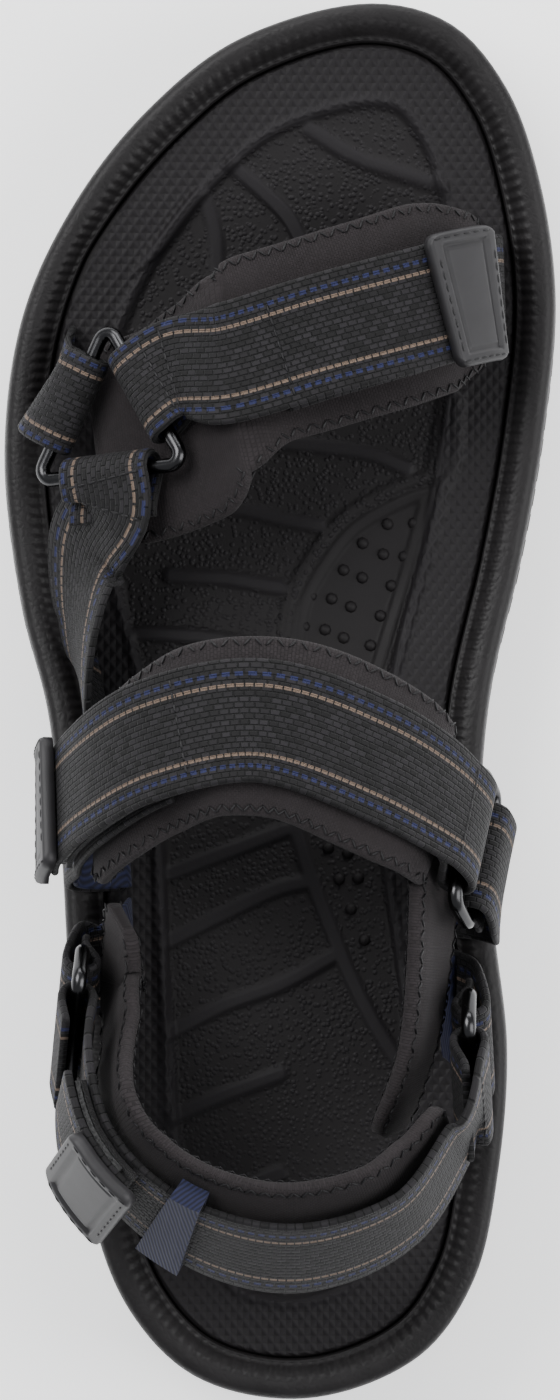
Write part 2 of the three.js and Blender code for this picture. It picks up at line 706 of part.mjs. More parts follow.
const heelRoute = new Route([
  ...eye(heelMedialRing.upper, heelMedialRing.span, heelMedialRing.out),
  ...heelStations,
  [beforeRing(EYE_FLAT, heelLateralRing.out, EYE_TOP - heelFlapGap), heelLateralRing.out],
  ...heelTurn.map(([p, n]) => [p, n.clone().negate()]),
]);
const heelBack = heelRoute.nearest(heelStations[2][0]);
const heelTurnStart = heelRoute.length - EYE_FLAT - Math.PI * EYE_RADIUS;
const heelFlapStart = heelRoute.nearest(beforeRing(16), heelBack, heelTurnStart);
const heelFlapEnd = heelRoute.nearest(above(-29, heelLateralSlot - 45, 42), heelBack, heelFlapStart);
piece("heel_strap", band(heelRoute), stripedWebbing);
piece(
  "heel_flap",
  band(heelRoute, { from: heelFlapEnd, to: heelFlapStart, lift: heelFlapGap }),
  stripedWebbing,
);
piece(
  "heel_hook_tape",
  band(heelRoute, {
    from: heelFlapEnd + SECTION_PITCH,
    to: heelFlapStart,
    lift: heelFlapGap + HOOK_LIFT,
    thickness: TAPE_THICKNESS,
    width: WEB_WIDTH - 3,
  }),
  hookTape,
);
piece(
  "heel_loop_tape",
  band(heelRoute, {
    from: heelFlapEnd,
    to: heelFlapStart,
    lift: heelFlapGap + LOOP_LIFT,
    thickness: TAPE_THICKNESS,
    width: WEB_WIDTH - 3,
  }),
  loopTape,
);
piece(
  "heel_pull_tab",
  band(heelRoute, {
    from: heelFlapEnd - SECTION_PITCH,
    to: heelFlapEnd + TAB_LENGTH - SECTION_PITCH,
    lift: heelFlapGap + TAB_LIFT,
    thickness: TAB_THICKNESS,
    width: TAB_WIDTH,
  }),
  tabRubber,
);

// The keeper is a flat loop round the bare strap just behind the flap.
const keeperAt = heelFlapEnd - 12;
const keeper = (lift, thickness, width, spare = 0) =>
  band(heelRoute, { from: keeperAt - 4 - spare, to: keeperAt + 4 + spare, lift, thickness, width });
const keeperWall = 1.2;
const keeperRoom = 2 * (0.25 + GAP);
const heelPadStart = heelRoute.nearest(heelStations[0][0]) - 2;
piece(
  "heel_keeper",
  cut(
    keeper(0, WEB_THICKNESS + keeperRoom + 2 * keeperWall, WEB_WIDTH + keeperRoom + 2 * keeperWall),
    keeper(0, WEB_THICKNESS + keeperRoom, WEB_WIDTH + keeperRoom, 2),
  ),
  navyTape,
);
const heelMedialRoute = new Route([
  ...eye(heelMedialRing.lower, heelMedialRing.back, heelMedialRing.out, ANCHOR_TAIL),
  [above(38, heelMedialSlot - 2, 12), unit(1, 0, -0.1)],
  ...slot(heelMedialSlot, 1),
]);
piece("heel_medial_anchor", band(heelMedialRoute, {}), stripedWebbing);
const heelLateralRoute = new Route([
  ...eye(heelLateralRing.lower, heelLateralRing.back, heelLateralRing.out, ANCHOR_TAIL),
  [above(-38, heelLateralSlot - 2, 11.5), unit(-1, 0.15, -0.1)],
  ...slot(heelLateralSlot, -1),
]);
const gathered = shares(heelLateralRoute, [0.5, WEB_WIDTH], [0.68, WEB_WIDTH - GATHER]);
piece("heel_lateral_anchor", band(heelLateralRoute, { width: gathered }), stripedWebbing);

const keeperClearance = PAD_LIFT - keeperWall - 1;
const underRing = underDelta + 2.4;
const heelPadRoute = new Route([
  ...heelRoute.follow(heelPadStart, heelFlapStart - 6, keeperClearance, 9),
  [along(heelLateralRing.upper, heelLateralRing.out, -underRing), unit(-1, 0, 0.35)],
  [along(heelLateralRing.lower, heelLateralRing.out, -underRing, V(0, 1, 0), 4), unit(-1, 0, 0.35)],
  [above(-32, heelLateralSlot + 9, 31), unit(-1, 0, 0.35)],
]);
const heelPadWidth = shares(heelPadRoute, [0, 30], [0.2, 38], [0.6, 36], [0.75, 26], [1, 20]);
piece("heel_pad", band(heelPadRoute, { thickness: PAD_THICKNESS, width: heelPadWidth }), neoprene);

// ---- Navy lining on the inner face of the four rear anchors --------------------------------------------

const LINING_LENGTH = 6;
function lining(name, route, length, lift = 0) {
  const low = route.length - SLOT_DEPTH - 2.2;
  const shape = {
    from: low - length,
    to: low,
    lift: (s) => read(lift, s) + LINING_LIFT,
    thickness: TAPE_THICKNESS,
    width: WEB_WIDTH - 1,
  };
  piece(name, band(route, shape), navyTape);
}
lining("instep_lateral_lining", instepRoute, 3 * LINING_LENGTH, instepAnchorLift);
lining("instep_medial_lining", instepMedialRoute, LINING_LENGTH);
lining("heel_lateral_lining", heelLateralRoute, LINING_LENGTH / 2);
lining("heel_medial_lining", heelMedialRoute, LINING_LENGTH);

// ---- Footbed, with a slot for each webbing that enters it ----------------------------------------------

const pocket = (route) =>
  band(route, {
    from: route.length - SLOT_DEPTH - 7,
    to: route.length + 0.5,
    width: WEB_WIDTH + 1.2,
    thickness: WEB_THICKNESS + 1,
  });
const anchors = [
  forefootRoute,
  forefootLateralRoute,
  sideRoute,
  instepRoute,
  instepMedialRoute,
  heelLateralRoute,
  heelMedialRoute,
];
const footbedBlank = layer([
  ["spine", (y) => bed(y) - FOOTBED_THICKNESS],
  [16, (y) => bed(y) - FOOTBED_THICKNESS],
  [RIM_WIDTH + GAP, (y) => bed(y) - FOOTBED_THICKNESS],
  [RIM_WIDTH + GAP, (y) => bed(y) - 0.6],
  [RIM_WIDTH + GAP + 0.6, bed],
  [16, bed],
  ["spine", bed],
]);
piece("footbed", cut(footbedBlank, ...anchors.map(pocket)), footbedFoam);

// The origin is under the middle of the sandal, on the ground.
const bounds = new THREE.Box3().setFromObject(sandal, true);
const middle = bounds.getCenter(V(0, 0, 0));
sandal.position.set(-middle.x, -middle.y, -bounds.min.z);

export default sandal;
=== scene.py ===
import math

import bmesh
import bpy
import numpy as np
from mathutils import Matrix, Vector


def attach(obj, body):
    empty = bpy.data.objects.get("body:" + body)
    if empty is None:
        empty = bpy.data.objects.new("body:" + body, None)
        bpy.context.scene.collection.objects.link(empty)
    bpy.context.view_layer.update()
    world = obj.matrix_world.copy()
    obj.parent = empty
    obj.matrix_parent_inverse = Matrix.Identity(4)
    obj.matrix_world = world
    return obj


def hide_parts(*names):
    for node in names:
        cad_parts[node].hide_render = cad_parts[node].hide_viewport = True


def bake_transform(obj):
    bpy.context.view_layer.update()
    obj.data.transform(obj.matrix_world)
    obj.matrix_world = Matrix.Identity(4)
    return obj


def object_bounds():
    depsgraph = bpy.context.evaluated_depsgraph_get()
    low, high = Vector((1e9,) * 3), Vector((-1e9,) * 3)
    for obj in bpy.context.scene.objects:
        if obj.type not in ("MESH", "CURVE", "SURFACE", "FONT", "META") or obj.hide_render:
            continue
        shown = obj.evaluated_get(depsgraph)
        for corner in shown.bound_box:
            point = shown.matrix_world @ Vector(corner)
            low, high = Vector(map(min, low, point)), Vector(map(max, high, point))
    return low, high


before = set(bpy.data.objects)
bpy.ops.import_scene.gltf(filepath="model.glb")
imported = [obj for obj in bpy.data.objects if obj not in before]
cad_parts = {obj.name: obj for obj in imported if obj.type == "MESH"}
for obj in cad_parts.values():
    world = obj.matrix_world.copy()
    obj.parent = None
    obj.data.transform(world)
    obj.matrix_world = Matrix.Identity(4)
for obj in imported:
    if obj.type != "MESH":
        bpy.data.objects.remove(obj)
cad_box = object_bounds()

# ---- The stand: a pale floor, soft studio light and a camera straight above the footbed --------------------
# Everything below is worked out in millimetres and turned to metres when a mesh is made.

MM = 0.001
(LEFT, HEEL, GROUND), (RIGHT, TOE, TOP) = [[value / MM for value in corner] for corner in cad_box]
SOLE_LENGTH = TOE - HEEL
SOLE_WIDTH = RIGHT - LEFT


def linear(hex_colour):
    """sRGB hex to linear RGBA."""
    parts = [int(hex_colour[i : i + 2], 16) / 255 for i in (1, 3, 5)]
    return [c / 12.92 if c <= 0.04045 else ((c + 0.055) / 1.055) ** 2.4 for c in parts] + [1.0]


def add_node(tree, kind, inputs=None, **settings):
    """Adds a node with its settings; inputs maps a socket's name or number to a value or to a socket."""
    node = tree.nodes.new(kind)
    for key, value in settings.items():
        setattr(node, key, value)
    for key, value in (inputs or {}).items():
        if isinstance(value, bpy.types.NodeSocket):
            tree.links.new(value, node.inputs[key])
        else:
            node.inputs[key].default_value = value
    return node


def new_material(name, colour, roughness, **shader_inputs):
    """A material with a Principled shader; returns it with its tree and shader."""
    material = bpy.data.materials.new(name)
    material.use_nodes = True
    tree = material.node_tree
    shader = tree.nodes["Principled BSDF"]
    shader.inputs["Base Color"].default_value = linear(colour)
    shader.inputs["Roughness"].default_value = roughness
    for key, value in shader_inputs.items():
        shader.inputs[key.replace("_", " ")].default_value = value
    return material, tree, shader


def math_node(tree, operation, *values):
    """The result of a Math node on values or sockets."""
    return add_node(tree, "ShaderNodeMath", dict(enumerate(values)), operation=operation).outputs[0]


def mix(tree, share, low, high):
    """A colour between two, each an sRGB hex or a socket."""
    low, high = (linear(value) if isinstance(value, str) else value for value in (low, high))
    return add_node(tree, "ShaderNodeMix", {0: share, 6: low, 7: high}, data_type="RGBA").outputs[2]


def on_object(tree):
    return add_node(tree, "ShaderNodeTexCoord").outputs["Object"]


def new_mesh(name, points, faces, material, smooth=True):
    """An object from points in millimetres."""
    mesh = bpy.data.meshes.new(name)
    mesh.from_pydata((np.asarray(points, float) * MM).tolist(), [], faces)
    mesh.materials.append(material)
    mesh.polygons.foreach_set("use_smooth", [smooth] * len(mesh.polygons))
    thing = bpy.data.objects.new(name, mesh)
    bpy.context.scene.collection.objects.link(thing)
    return thing


paper, _, _ = new_material(
    "seamless paper", "#fafafa", 0.95, Emission_Color=(1, 1, 1, 1), Emission_Strength=0.75
)
FLOOR = 3000
corners = [(-FLOOR, -FLOOR, GROUND), (FLOOR, -FLOOR, GROUND), (FLOOR, FLOOR, GROUND), (-FLOOR, FLOOR, GROUND)]
floor = new_mesh("floor", corners, [(0, 1, 2, 3)], paper)

world = bpy.data.worlds.new("studio air")
world.use_nodes = True
world.node_tree.nodes["Background"].inputs["Color"].default_value = (0.93, 0.95, 1.0, 1.0)
world.node_tree.nodes["Background"].inputs["Strength"].default_value = 0.55
bpy.context.scene.world = world


LIT_HEIGHT = 30


def softbox(name, place, size, watts):
    """An area light that points at the middle of the sandal."""
    light = bpy.data.lights.new(name, "AREA")
    light.shape = "RECTANGLE"
    light.size, light.size_y = size
    light.energy = watts
    lamp = bpy.data.objects.new(name, light)
    lamp.location = place
    direction = np.array((0, 0, LIT_HEIGHT * MM)) - np.array(place)
    lamp.rotation_mode = "QUATERNION"
    lamp.rotation_quaternion = Vector(direction).to_track_quat("-Z", "Y")
    bpy.context.scene.collection.objects.link(lamp)


softbox("key softbox", (-0.55, 0.45, 0.95), (0.7, 0.7), 14)
softbox("fill softbox", (0.75, -0.1, 0.7), (0.6, 0.9), 9)
softbox("toe softbox", (0.1, 0.9, 0.45), (0.9, 0.3), 6)

CAMERA_HEIGHT = 1300
FRAMING_HEIGHT = 28
FRAME_MARGIN = 1.5
SENSOR = 36
camera_data = bpy.data.cameras.new("camera")
camera_data.sensor_width = SENSOR
camera_data.lens = SENSOR * (CAMERA_HEIGHT - FRAMING_HEIGHT) / (SOLE_LENGTH + FRAME_MARGIN)
camera = bpy.data.objects.new("camera", camera_data)
camera.location = (0, 0, CAMERA_HEIGHT * MM)
bpy.context.scene.collection.objects.link(camera)
bpy.context.scene.camera = camera

# ---- Midsole: a moulded foam cup --------------------------------------------------------------------------
# One piece of dense foam with a grained skin. Its rim stands above the footbed, has short moulded ticks on
# its inner slope and a bead where it meets the footbed.

HEEL_HEIGHT = 35
BALL_HEIGHT = 23
TOE_SPRING = 9
OUTSOLE_THICKNESS = 6
FOOTBED_THICKNESS = 5
RIM_WIDTH = 8.6
RIM_HEIGHT = 4.5
GAP = 0.36
OUTLINE = [
    (0.33, 1), (0.62, 0.97), (0.82, 0.88), (0.94, 0.75), (1, 0.58), (0.96, 0.39), (0.88, 0.21),
    (0.76, 0), (0.73, -0.19), (0.78, -0.35), (0.82, -0.5), (0.79, -0.67), (0.7, -0.83), (0.5, -0.94),
    (0.1, -1), (-0.3, -0.97), (-0.55, -0.87), (-0.7, -0.7), (-0.76, -0.42), (-0.79, -0.22),
    (-0.84, -0.02), (-0.94, 0.14), (-1, 0.36), (-0.93, 0.56), (-0.74, 0.72), (-0.48, 0.85), (-0.15, 0.95),
]


def vec(*values):
    return np.array(values, float)


def unit(*values):
    v = np.array(values, float)
    return v / np.linalg.norm(v)


def ease(t):
    c = np.clip(t, 0, 1)
    return c * c * (3 - 2 * c)


def spline_point(points, t, closed=False):
    """A point on a centripetal Catmull-Rom curve through the points, t from 0 to 1."""
    n = len(points)
    place = (n if closed else n - 1) * t
    i = int(math.floor(place))
    if not closed:
        i = min(i, n - 2)
    w = place - i
    if closed:
        p0, p1, p2, p3 = (points[(i + k - 1) % n] for k in range(4))
    else:
        p1, p2 = points[i], points[i + 1]
        p0 = points[i - 1] if i > 0 else 2 * p1 - p2
        p3 = points[i + 2] if i + 2 < n else 2 * p2 - p1
    d0, d1, d2 = (max(np.linalg.norm(b - a) ** 0.5, 1e-4) for a, b in ((p0, p1), (p1, p2), (p2, p3)))
    start = ((p1 - p0) / d0 - (p2 - p0) / (d0 + d1) + (p2 - p1) / d1) * d1
    end = ((p2 - p1) / d1 - (p3 - p1) / (d1 + d2) + (p3 - p2) / d2) * d1
    cube = 2 * p1 - 2 * p2 + start + end
    square = -3 * p1 + 3 * p2 - 2 * start - end
    return ((cube * w + square) * w + start) * w + p1


outline_points = [vec(x * SOLE_WIDTH / 2, y * SOLE_LENGTH / 2) for x, y in OUTLINE]
edge = np.array([spline_point(outline_points, k / 900, True) for k in range(901)])


def reach(start, direction):
    """How far the sole's edge is from a point inside it, in a level direction."""
    a = edge[:-1]
    e = edge[1:] - a
    off = a - start[:2]
    cross = direction[0] * e[:, 1] - direction[1] * e[:, 0]
    cross = np.where(np.abs(cross) < 1e-9, 1e-9, cross)
    distance = (off[:, 0] * e[:, 1] - off[:, 1] * e[:, 0]) / cross
    share = (off[:, 0] * direction[1] - off[:, 1] * direction[0]) / cross
    hit = (distance > 0) & (share >= -1e-6) & (share <= 1 + 1e-6)
    return float(distance[hit].max()) if hit.any() else 0.0


HEEL_CENTRE = vec(4, -0.34 * SOLE_LENGTH)
TOE_CENTRE = vec(4, 0.32 * SOLE_LENGTH)
SPRING_START = 0.19 * SOLE_LENGTH


def ground(y):
    return TOE_SPRING * np.maximum(0, (y - SPRING_START) / (SOLE_LENGTH / 2 - SPRING_START)) ** 2


def bed(y):
    wedge = 1 - ease((y / SOLE_LENGTH + 0.26) / 0.4)
    return ground(y) + BALL_HEIGHT + (HEEL_HEIGHT - BALL_HEIGHT) * wedge


def sole_rays(along_sides, round_ends):
    """Starts, directions and lengths of rays from the middle of the sole to its edge, all the way round."""
    rays = []
    for i in range(along_sides + 1):
        rays.append((TOE_CENTRE + (HEEL_CENTRE - TOE_CENTRE) * i / along_sides, vec(1, 0)))
    for i in range(1, round_ends + 1):
        angle = -math.pi * i / (round_ends + 1)
        rays.append((HEEL_CENTRE, vec(math.cos(angle), math.sin(angle))))
    for i in range(along_sides, -1, -1):
        rays.append((TOE_CENTRE + (HEEL_CENTRE - TOE_CENTRE) * i / along_sides, vec(-1, 0)))
    for i in range(round_ends, 0, -1):
        angle = math.pi * i / (round_ends + 1)
        rays.append((TOE_CENTRE, vec(math.cos(angle), math.sin(angle))))
    starts = np.array([r[0] for r in rays])
    directions = np.array([r[1] for r in rays])
    lengths = np.array([reach(*r) for r in rays])
    return starts, directions, lengths


def hoop(rays, inset, height):
    """The points at an inset from the edge, at a height that may depend on the place along the sole."""
    starts, directions, lengths = rays
    flat = starts + directions * np.maximum(lengths - inset, 0)[:, None]
    return np.column_stack([flat, height(flat[:, 1])])


def sole_mesh(name, hoops, material):
    """A closed skin over hoops, listed from under the middle, round the edge, to the top."""
    n = len(hoops[0])
    points = np.concatenate(hoops)
    faces = []
    for row in range(len(hoops) - 1):
        for k in range(n):
            a, b = row * n + k, row * n + (k + 1) % n
            faces.append((a, b, b + n, a + n))
    thing = new_mesh(name, points, faces, material)
    round_length = np.linalg.norm(np.roll(hoops[-2], -1, 0) - hoops[-2], axis=1)
    travel = np.concatenate([[0], np.cumsum(round_length)])
    climbs = [np.linalg.norm(b - a, axis=1).max() for a, b in zip(hoops, hoops[1:])]
    rise = np.concatenate([[0], np.cumsum(climbs)])
    layer = thing.data.uv_layers.new(name="round")
    uv = []
    for row in range(len(hoops) - 1):
        for k in range(n):
            low, high = rise[row] * MM, rise[row + 1] * MM
            here, there = travel[k] * MM, travel[k + 1] * MM
            uv += [here, low, there, low, there, high, here, high]
    layer.data.foreach_set("uv", uv)
    return thing


def merge_and_face_out(thing, distance=0.02):
    work = bmesh.new()
    work.from_mesh(thing.data)
    bmesh.ops.remove_doubles(work, verts=work.verts, dist=distance * MM)
    bmesh.ops.recalc_face_normals(work, faces=work.faces)
    work.to_mesh(thing.data)
    work.free()


def bump(tree, shader, height, strength, distance_mm, under=None):
    inputs = {"Height": height, "Strength": strength, "Distance": distance_mm * MM}
    if under:
        inputs["Normal"] = under
    node = add_node(tree, "ShaderNodeBump", inputs)
    tree.links.new(node.outputs[0], shader.inputs["Normal"])
    return node.outputs[0]


def wave_in_mm(tree, place, pitch, **settings):
    """Bands that repeat at that pitch; at scale 1 one band is 0.314 m long."""
    return add_node(tree, "ShaderNodeTexWave", {"Vector": place, "Scale": 0.314 / (pitch * MM)}, **settings)


def voronoi_in_mm(tree, place, size, feature="F1", **settings):
    """Cells of about that size on Object coordinates."""
    inputs = {"Vector": place, "Scale": 1 / (size * MM)}
    return add_node(tree, "ShaderNodeTexVoronoi", inputs, feature=feature, **settings)


# Moulded foam skin: dark grey with a soft sheen and a pebbled grain of about a millimetre.
foam_skin, tree, shader = new_material("moulded foam skin", "#181717", 0.5, Specular_IOR_Level=0.22)
place = on_object(tree)
pebbles = voronoi_in_mm(tree, place, 1.5, feature="DISTANCE_TO_EDGE")
wear = add_node(tree, "ShaderNodeTexNoise", {"Vector": place, "Scale": 180.0, "Detail": 6.0})
tint = mix(tree, wear.outputs["Fac"], "#131212", "#211f20")
tree.links.new(tint, shader.inputs["Base Color"])
shine = add_node(tree, "ShaderNodeMapRange", {0: wear.outputs["Fac"], 3: 0.38, 4: 0.6})
tree.links.new(shine.outputs[0], shader.inputs["Roughness"])
rim_uv = add_node(tree, "ShaderNodeUVMap", uv_map="round").outputs[0]
ticks = wave_in_mm(tree, rim_uv, 2.1, bands_direction="X")
ticks.inputs["Distortion"].default_value = 0.4
on_slope = add_node(tree, "ShaderNodeAttribute", attribute_name="slope")
tick_height = math_node(tree, "MULTIPLY", ticks.outputs["Fac"], on_slope.outputs["Fac"])
ground_normal = bump(tree, shader, pebbles.outputs["Distance"], 0.35, 0.35)
bump(tree, shader, tick_height, 0.5, 0.4, ground_normal)

PAST_MIDDLE = 400
fine_rays = sole_rays(150, 60)
rim_profile = [
    (3.4, 0), (4.4, -0.05), (5.4, -0.4), (6.4, -1.1), (7.3, -2.1),
    (8.0, -2.9), (8.3, -2.75), (8.6, -3.0), (8.75, -3.6),
]
hoops = [
    hoop(fine_rays, PAST_MIDDLE, lambda y: ground(y) + OUTSOLE_THICKNESS + GAP),
    hoop(fine_rays, 9, lambda y: ground(y) + OUTSOLE_THICKNESS + GAP),
    hoop(fine_rays, 1.6, lambda y: ground(y) + OUTSOLE_THICKNESS + GAP),
    hoop(fine_rays, 0.9, lambda y: ground(y) + OUTSOLE_THICKNESS + 0.8),
]
WALL_STEPS = 14
for step in range(WALL_STEPS + 1):
    share = step / WALL_STEPS
    groove = 0.8 * math.exp(-(((share - 0.22) / 0.035) ** 2)) + 0.5 * math.exp(-(((share - 0.8) / 0.03) ** 2))
    bulge = 0.5 * math.sin(math.pi * share)

    def wall_height(y, share=share):
        low = ground(y) + OUTSOLE_THICKNESS + 1.6
        return low + (bed(y) + RIM_HEIGHT - 2.6 - low) * share

    hoops.append(hoop(fine_rays, 0.6 - bulge + groove, wall_height))
for inset, drop in [(0.8, -1.5), (1.2, -0.8), (1.9, -0.25), (2.6, -0.02)] + rim_profile:
    hoops.append(hoop(fine_rays, inset, lambda y, drop=drop: bed(y) + RIM_HEIGHT + drop))
hoops.append(hoop(fine_rays, 8.75, lambda y: bed(y) - FOOTBED_THICKNESS - GAP))
hoops.append(hoop(fine_rays, PAST_MIDDLE, lambda y: bed(y) - FOOTBED_THICKNESS - GAP))
midsole = sole_mesh("midsole_cup", hoops, foam_skin)
slope = midsole.data.attributes.new("slope", "FLOAT", "POINT")
ring_count = len(fine_rays[2])
slope_values = np.zeros(len(midsole.data.vertices), np.float32)
first_slope = 4 + WALL_STEPS + 1 + 4 + 2
for row in range(first_slope, first_slope + 4):
    slope_values[row * ring_count : (row + 1) * ring_count] = 1
slope.data.foreach_set("value", slope_values)
merge_and_face_out(midsole)
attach(midsole, "sandal")
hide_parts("midsole")

# ---- Outsole: a moulded rubber sheet with lugs ------------------------------------------------------------
# Matt black rubber with a dusty bloom. Cross grooves cut its underside into lugs, and small teeth stand
# out round its side.

tread_rubber, tree, shader = new_material("moulded tread rubber", "#151414", 0.75, Specular_IOR_Level=0.25)
place = on_object(tree)
dust = add_node(tree, "ShaderNodeTexNoise", {"Vector": place, "Scale": 900.0, "Detail": 4.0})
tint = mix(tree, dust.outputs["Fac"], "#100f0f", "#1d1c1b")
tree.links.new(tint, shader.inputs["Base Color"])
bump(tree, shader, dust.outputs["Fac"], 0.25, 0.3)


def dress(node_name, material):
    """Gives a piece that stays as the frame has it its material."""
    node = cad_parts[node_name]
    node.data.materials.clear()
    node.data.materials.append(material)


dress("outsole", tread_rubber)


def instances(name, points, along, out, scale, material, shape="rounded"):
    """Small identical shapes at points (mm), each with a length direction and an outward direction. A
    Geometry Nodes tree puts one on each point; "Length", "Width" and "Height" are its named inputs."""
    seed = bpy.data.meshes.new(name + " seats")
    seed.from_pydata((np.asarray(points, float) * MM).tolist(), [], [])
    for label, values in (("lengthwise", along), ("outwards", out)):
        directions = seed.attributes.new(label, "FLOAT_VECTOR", "POINT")
        directions.data.foreach_set("vector", np.asarray(values, float).ravel())
    thing = bpy.data.objects.new(name, seed)
    bpy.context.scene.collection.objects.link(thing)
    tree = bpy.data.node_groups.new(name, "GeometryNodeTree")
    tree.interface.new_socket("Geometry", in_out="INPUT", socket_type="NodeSocketGeometry")
    sizes = [
        tree.interface.new_socket(label, in_out="INPUT", socket_type="NodeSocketFloat")
        for label in ("Length", "Width", "Height")
    ]
    tree.interface.new_socket("Geometry", in_out="OUTPUT", socket_type="NodeSocketGeometry")
    enter = add_node(tree, "NodeGroupInput")
    scale_vector = add_node(tree, "ShaderNodeCombineXYZ", {i: enter.outputs[i + 1] for i in range(3)})
    if shape == "block":
        body = add_node(tree, "GeometryNodeMeshCube", {"Size": (1, 1, 1)}).outputs["Mesh"]
    else:
        ball = {"Segments": 8, "Rings": 5, "Radius": 0.5}
        body = add_node(tree, "GeometryNodeMeshUVSphere", ball).outputs["Mesh"]
    axes = {}
    for k, label in enumerate(("outwards", "lengthwise")):
        found = add_node(tree, "GeometryNodeInputNamedAttribute", {"Name": label}, data_type="FLOAT_VECTOR")
        axes[k] = found.outputs[0]
    turned = add_node(tree, "FunctionNodeAxesToRotation", axes, primary_axis="Z", secondary_axis="X")
    seats = {"Points": enter.outputs[0], "Instance": body}
    seats |= {"Rotation": turned.outputs[0], "Scale": scale_vector.outputs[0]}
    placed = add_node(tree, "GeometryNodeInstanceOnPoints", seats)
    real = add_node(tree, "GeometryNodeRealizeInstances", {0: placed.outputs[0]})
    painted = add_node(tree, "GeometryNodeSetMaterial", {0: real.outputs[0], "Material": material})
    shading = {0: painted.outputs[0], "Shade Smooth": shape != "block"}
    smooth = add_node(tree, "GeometryNodeSetShadeSmooth", shading)
    add_node(tree, "NodeGroupOutput", {0: smooth.outputs[0]})
    modifier = thing.modifiers.new("seats", "NODES")
    modifier.node_group = tree
    for socket, value in zip(sizes, scale):
        modifier[socket.identifier] = value * MM
    evaluated = thing.evaluated_get(bpy.context.evaluated_depsgraph_get())
    plain = bpy.data.meshes.new_from_object(evaluated)
    thing.modifiers.clear()
    thing.data = plain
    return thing


TEETH = 132
teeth = {"points": [], "along": [], "out": []}
tooth_line = np.array([spline_point(outline_points, k / TEETH, True) for k in range(TEETH)])
for before, here, after in zip(np.roll(tooth_line, 1, 0), tooth_line, np.roll(tooth_line, -1, 0)):
    run = after - before
    run /= np.linalg.norm(run)
    outward = vec(-run[1], run[0])
    inside = here - outward * 0.9
    teeth["points"].append((*inside, ground(here[1]) + 3.2))
    teeth["along"].append((*run, 0))
    teeth["out"].append((*outward, 0))
TOOTH_SIZE = (3.6, 5.2, 2.6)
side_teeth = instances(
    "outsole_side_teeth", teeth["points"], teeth["along"], teeth["out"], TOOTH_SIZE, tread_rubber, "block"
)
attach(side_teeth, "sandal")

# Glass-filled nylon: a plain dark satin, hidden between the two layers of the sole.
shank_nylon, tree, shader = new_material("moulded glass-filled nylon", "#202021", 0.45)
place = on_object(tree)
fibres = add_node(tree, "ShaderNodeTexNoise", {"Vector": place, "Scale": 1500.0})
bump(tree, shader, fibres.outputs["Fac"], 0.1, 0.1)
dress("shank", shank_nylon)

# ---- Footbed: a moulded foam insole -----------------------------------------------------------------------
# Soft foam with a printed-in relief: a cross-hatched border, a fine dotted field, leaf-like flat ribs and a
# smooth arch panel with small nubs. It drops into the midsole's cup, and the webbing enters it at slots.

RIB_WIDTH = 3.0
BORDER_WIDTH = 11.5
RIBS = [
    [(-31, 90), (-23.5, 97), (-17.5, 105)],
    [(-15.5, 104.5), (-13.5, 97), (-13.2, 89)],
    [(-10, 111.5), (-3.5, 106), (1.5, 101), (4.5, 96)],
    [(6, 119), (16, 113), (25, 110), (34.5, 107)],
    [(-1, 54), (9, 53), (19, 51.5), (26.5, 48.5)],
    [(-12, 40.5), (-6, 39.5), (0, 38), (8, 36.5)],
    [(-23, 26), (-12, 25.5), (0, 23.5)],
    [(-29.5, 14), (-15, 13), (-1.5, 10.5)],
    [(-23, -36), (-11, -31.5), (1, -27)],
    [(-23, -50), (-11, -44), (0, -39), (7, -37.5)],
    [(-23, -69), (-11, -63), (0, -59), (12, -52.5)],
    [(-24, -87), (-12, -82), (0, -77.5)],
    [(-12, -102.5), (0, -98)],
    [(3, -26), (6.5, -37), (12, -51), (14, -56), (19, -66), (25, -76)],
    [(-25, -22), (-25, -50), (-24.5, -90)],
]
PANEL = [
    (36, 63), (33.5, 48), (29, 30), (24.5, 15), (20.5, 2), (17, -8), (8, -6), (2.5, 8), (3.5, 20),
    (8, 29), (14.5, 37), (26, 43.5), (33.5, 46.5),
]


def polyline_distance(points, line):
    """Distance in plan from each point to an open line."""
    best = np.full(len(points), 1e9)
    for a, b in zip(line, line[1:]):
        a, b = np.array(a, float), np.array(b, float)
        run = b - a
        share = np.clip(((points - a) @ run) / (run @ run), 0, 1)
        best = np.minimum(best, np.linalg.norm(points - a - share[:, None] * run, axis=1))
    return best


def inside(points, loop):
    """Which points lie inside a closed loop."""
    x, y = points[:, 0], points[:, 1]
    hit = np.zeros(len(points), bool)
    for (x0, y0), (x1, y1) in zip(loop, loop[1:] + loop[:1]):
        crosses = (y0 > y) != (y1 > y)
        hit ^= crosses & (x < (x1 - x0) * (y - y0) / (y1 - y0 + 1e-12) + x0)
    return hit


def smooth_line(points, steps=10):
    """A finer line through the points."""
    spots = [vec(*p) for p in points]
    count = steps * (len(spots) - 1)
    return [tuple(spline_point(spots, k / count)) for k in range(count + 1)]


def bump_step(distance, width, softness=0.35):
    """1 within half the width of a line, easing to 0."""
    return 1 - ease((distance - width / 2 + softness) / (2 * softness))


